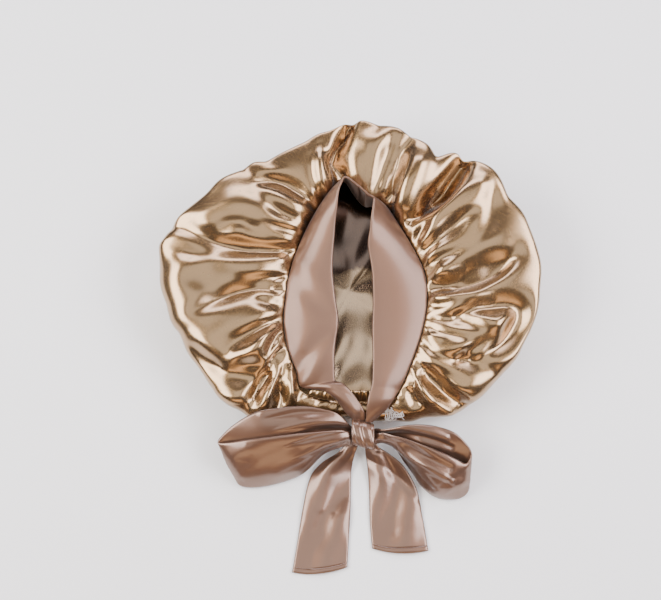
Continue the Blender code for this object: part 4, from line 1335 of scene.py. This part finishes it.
def thread(name, paths, radius, material):
    # Sewing thread: thin tubes along chosen points.
    points, faces, count = [], [], 0
    turn = np.linspace(0.0, FULL_TURN, THREAD_SIDES + 1)[None, :-1, None]
    for path in paths:
        along = unit(np.gradient(path, axis=0))
        aside = unit(np.cross(along, THREAD_UP))
        above = np.cross(aside, along)
        ring = aside[:, None] * np.cos(turn) + above[:, None] * np.sin(turn)
        index = ring_index(len(path), THREAD_SIDES, count)
        faces += quads(index, True) + [index[0, :-1].tolist(), index[-1, -2::-1].tolist()]
        points.append((path[:, None] + ring * radius).reshape(-1, 3))
        count += len(path) * THREAD_SIDES
    points = np.concatenate(points)
    return add_mesh(name, points, faces, points[:, :2] / 1000.0, material)


def top_of(piece, x, y):
    # Height of a laid piece's upper face under the places given.
    places = np.empty(len(piece.data.vertices) * 3)
    piece.data.vertices.foreach_get("co", places)
    places = places.reshape(-1, 3) * 1000.0 - SHIFT
    far = np.abs(places[:, :2] - (x.mean(), y.mean())).max(axis=1)
    places = places[far < THREAD_SEARCH]
    gap = np.hypot(places[None, :, 0] - x[:, None], places[None, :, 1] - y[:, None])
    height = np.where(gap < THREAD_NEAR, places[None, :, 2], -1.0).max(axis=1)
    return np.where(height < 0.0, height.max(), height)


def overlock_threads(crown, material):
    # Loose curls of overlock thread where the seam ends at the nape.
    paths = []
    for x, y, long, deep, curls, seed in OVERLOCK:
        pick = np.random.RandomState(seed)
        s = np.linspace(0.0, 1.0, int(curls * OVERLOCK_POINTS))
        for strand in range(OVERLOCK_STRANDS):
            phase = pick.uniform(0.0, 6.0)
            curl = s * curls * OVERLOCK_TURN
            px = x + (s - 0.5) * long + OVERLOCK_CURL * np.sin(curl + phase)
            least, more, rate = OVERLOCK_CHANGE
            change = least + more * np.sin(s * rate + strand)
            py = y + deep * np.sin(curl / 2.0 + phase) * change
            rise = OVERLOCK_LIFT * (1.0 + np.sin(curl + OVERLOCK_SHIFT * strand))
            height = top_of(crown, px, py)[:, None, None] * np.ones((1, 3, 1))
            height = softened(height, OVERLOCK_SOFTENING)[:, 1, 0]
            paths.append(np.stack((px, py, height + OVERLOCK_ABOVE + rise), -1))
    return thread("overlock_threads", paths, OVERLOCK_RADIUS, material)


def hem_stitches(pieces, material):
    # Machine stitches along the hems of the two tails.
    paths = []
    for piece, rows, length in pieces:
        share = 1.0 - (HEM_DEEP + STITCH_IN) / length
        row = read_rows(rows, share)
        pitch = STITCH_PITCH / ((row[1] - row[0]) * BAND_WIDTH)
        for start in np.arange(*STITCH_ENDS, pitch):
            u = start + np.linspace(0.0, STITCH_SHARE * pitch, STITCH_POINTS)
            x, y = tail_plan(row, share, length, u)
            arch = STITCH_ARCH * np.sin(np.linspace(0.0, 3.14, STITCH_POINTS)) - STITCH_SUNK
            paths.append(np.stack((x, y, top_of(piece, x, y).mean() + arch), -1))
    return thread("hem_stitches", paths, STITCH_RADIUS, material)


def new_material(name):
    material = bpy.data.materials.new(name)
    material.use_nodes = True
    tree = material.node_tree
    return material, tree, tree.nodes["Principled BSDF"]


def set_inputs(tree, node, inputs):
    # An input gets a value, or a link from the socket given.
    for name, value in inputs.items():
        if isinstance(value, bpy.types.NodeSocket):
            tree.links.new(value, node.inputs[name])
        else:
            node.inputs[name].default_value = value


def add_node(tree, kind, output, inputs, **settings):
    # A shader node's output, with the node's settings and inputs made.
    node = tree.nodes.new("ShaderNode" + kind)
    for name, value in settings.items():
        setattr(node, name, value)
    set_inputs(tree, node, inputs)
    return node.outputs[output]


def noise_node(tree, places, scale, detail):
    stretched = add_node(tree, "Mapping", "Vector", {"Scale": scale, "Vector": places})
    inputs = {"Scale": 1.0, "Detail": detail, "Vector": stretched}
    return add_node(tree, "TexNoise", "Fac", inputs)


def bump(tree, height, strength, distance, **below):
    inputs = {"Strength": strength, "Distance": distance, "Height": height, **below}
    return add_node(tree, "Bump", "Normal", inputs)


def mixed(tree, factor, a, b, **settings):
    inputs = {"Factor": factor, "A": a, "B": b}
    return add_node(tree, "Mix", "Result", inputs, data_type="RGBA", **settings)


def satin(name, light, deep, metallic, roughness, coat, painted_light_share=0.0):
    # Satin: long floats that shine along one way of the cloth, faint crinkles, uneven dye.
    material, tree, shader = new_material(name)
    cloth = add_node(tree, "UVMap", "UV", {}, uv_map="cloth")
    threads = noise_node(tree, cloth, *SATIN_THREADS)
    crinkles = noise_node(tree, cloth, *SATIN_CRINKLES)
    dye = noise_node(tree, cloth, *SATIN_DYE)
    grain = add_node(tree, "Math", 0, {0: threads, 1: THREAD_COLOUR, 2: -THREAD_COLOUR / 2.0},
                     operation="MULTIPLY_ADD")
    blend = add_node(tree, "Math", 0, {0: dye, 1: grain}, operation="ADD")
    colour = mixed(tree, blend, light + (1.0,), deep + (1.0,))
    # The crown's tint attribute holds painted light and painted shade on the floor inside the
    # opening.
    tint = add_node(tree, "Attribute", "Color", {}, attribute_name="tint")
    low, high = (roughness + part for part in ROUGHNESS_SPREAD)
    fine = bump(tree, threads, *THREADS_BUMP)
    set_inputs(tree, shader, SATIN_INPUTS)
    set_inputs(tree, shader, {
        "Metallic": metallic,
        "Coat Weight": coat,
        "Tangent": add_node(tree, "Tangent", "Tangent", {}, direction_type="UV_MAP",
                            uv_map="cloth"),
        "Base Color": mixed(tree, painted_light_share, colour, tint, blend_type="MULTIPLY"),
        "Roughness": add_node(tree, "MapRange", "Result",
                              {"To Min": low, "To Max": high, "Value": crinkles}),
        "Normal": bump(tree, crinkles, *CRINKLES_BUMP, Normal=fine),
    })
    return material


def thread_look(name, colour):
    # Twisted polyester thread: fine slanting plies across a soft sheen.
    material, tree, shader = new_material(name)
    places = add_node(tree, "TexCoord", "Object", {})
    plies = noise_node(tree, places, *PLIES)
    shade = tuple(PLIES_SHADE * part for part in colour)
    set_inputs(tree, shader, {
        "Roughness": 0.55,
        "Sheen Weight": 0.3,
        "Base Color": mixed(tree, plies, shade + (1.0,), colour + (1.0,)),
        "Normal": bump(tree, plies, *PLIES_BUMP),
    })
    return material


def plain_floor():
    mesh = bpy.data.meshes.new("floor")
    sides = ((-1, -1), (1, -1), (1, 1), (-1, 1))
    corners = [(x * FLOOR_HALF, y * FLOOR_HALF, -FLOOR_BELOW) for x, y in sides]
    mesh.from_pydata(corners, [], [(0, 1, 2, 3)])
    material, tree, shader = new_material("floor_paper")
    set_inputs(tree, shader, {"Base Color": FLOOR_PAPER + (1.0,), "Roughness": 0.9})
    mesh.materials.append(material)
    add_object("floor", mesh)


def studio():
    world = bpy.data.worlds.new("studio")
    bpy.context.scene.world = world
    world.use_nodes = True
    sky = world.node_tree.nodes["Background"]
    sky.inputs["Color"].default_value = WORLD + (1.0,)
    sky.inputs["Strength"].default_value = WORLD_STRENGTH
    for name, place, target, wide, high, glow, tint in LIGHTS:
        light = bpy.data.lights.new(name, "AREA")
        light.shape = "RECTANGLE"
        light.size, light.size_y = wide, high
        light.energy = glow * math.pi * wide * high
        light.color = tint
        lamp = add_object(name, light)
        lamp.location = place
        aim = Vector(target) - Vector(place)
        lamp.rotation_euler = aim.to_track_quat("-Z", "Y").to_euler()
        lamp.visible_camera = False


def camera():
    lens = bpy.data.cameras.new("camera")
    lens.sensor_width = SENSOR
    lens.lens = FOCAL / PHOTO_WIDE * SENSOR
    eye = add_object("camera", lens)
    eye.location = ((CAMERA_PLACE + SHIFT) / 1000.0).tolist()
    eye.rotation_euler = (math.pi / 2.0 - RISE, 0.0, 0.0)
    bpy.context.scene.camera = eye


def main():
    # Satins: name, colour, deep colour, metallic, roughness, coat, share of the tint with its
    # painted light and painted shade.
    crown_satin = satin("crown_satin_cloth", CHAMPAGNE, CHAMPAGNE_DEEP, 0.95, 0.25, 0.95, 1.0)
    casing_satin = satin("casing_satin_cloth", CHAMPAGNE, CHAMPAGNE_DEEP, 0.92, 0.29, 0.8)
    band_satin = satin("band_satin_cloth", TAUPE, TAUPE_DEEP, 0.8, 0.46, 0.3)
    bow_satin = satin("bow_satin_cloth", TAUPE, TAUPE_DEEP, 0.82, 0.36, 0.6)
    crown = build_crown(crown_satin)
    band = build_band(band_satin)
    casing = build_casing(casing_satin)
    left_loop = build_loop("left_loop_cloth", LEFT_LOOP, LEFT_LOOP_REACH, -1,
                           LEFT_LOOP_STROKES, LEFT_LOOP_REAR_STROKES, bow_satin)
    right_loop = build_loop("right_loop_cloth", RIGHT_LOOP, RIGHT_LOOP_REACH, 1,
                            RIGHT_LOOP_STROKES, RIGHT_LOOP_REAR_STROKES, bow_satin)
    left_tail = build_tail("left_tail_cloth", LEFT_TAIL, LEFT_TAIL_LENGTH,
                           LEFT_TAIL_STROKES, bow_satin)
    right_tail = build_tail("right_tail_cloth", RIGHT_TAIL, RIGHT_TAIL_LENGTH,
                            RIGHT_TAIL_STROKES, bow_satin)
    knot = build_knot(bow_satin)
    curls = overlock_threads(crown, thread_look("white_thread", WHITE_THREAD))
    stitches = hem_stitches(((left_tail, LEFT_TAIL, LEFT_TAIL_LENGTH),
                             (right_tail, RIGHT_TAIL, RIGHT_TAIL_LENGTH)),
                            thread_look("tie_thread", TIE_THREAD))
    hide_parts("crown", "crown_base")
    for piece, node in ((band, "band"), (casing, "nape_casing"), (left_loop, "bow_loop_left"),
                        (right_loop, "bow_loop_right"), (left_tail, "bow_tail_left"),
                        (right_tail, "bow_tail_right"), (knot, "bow_knot")):
        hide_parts(node)
    for piece in made.values():
        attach(piece, "root")
    plain_floor()
    studio()
    camera()


main()
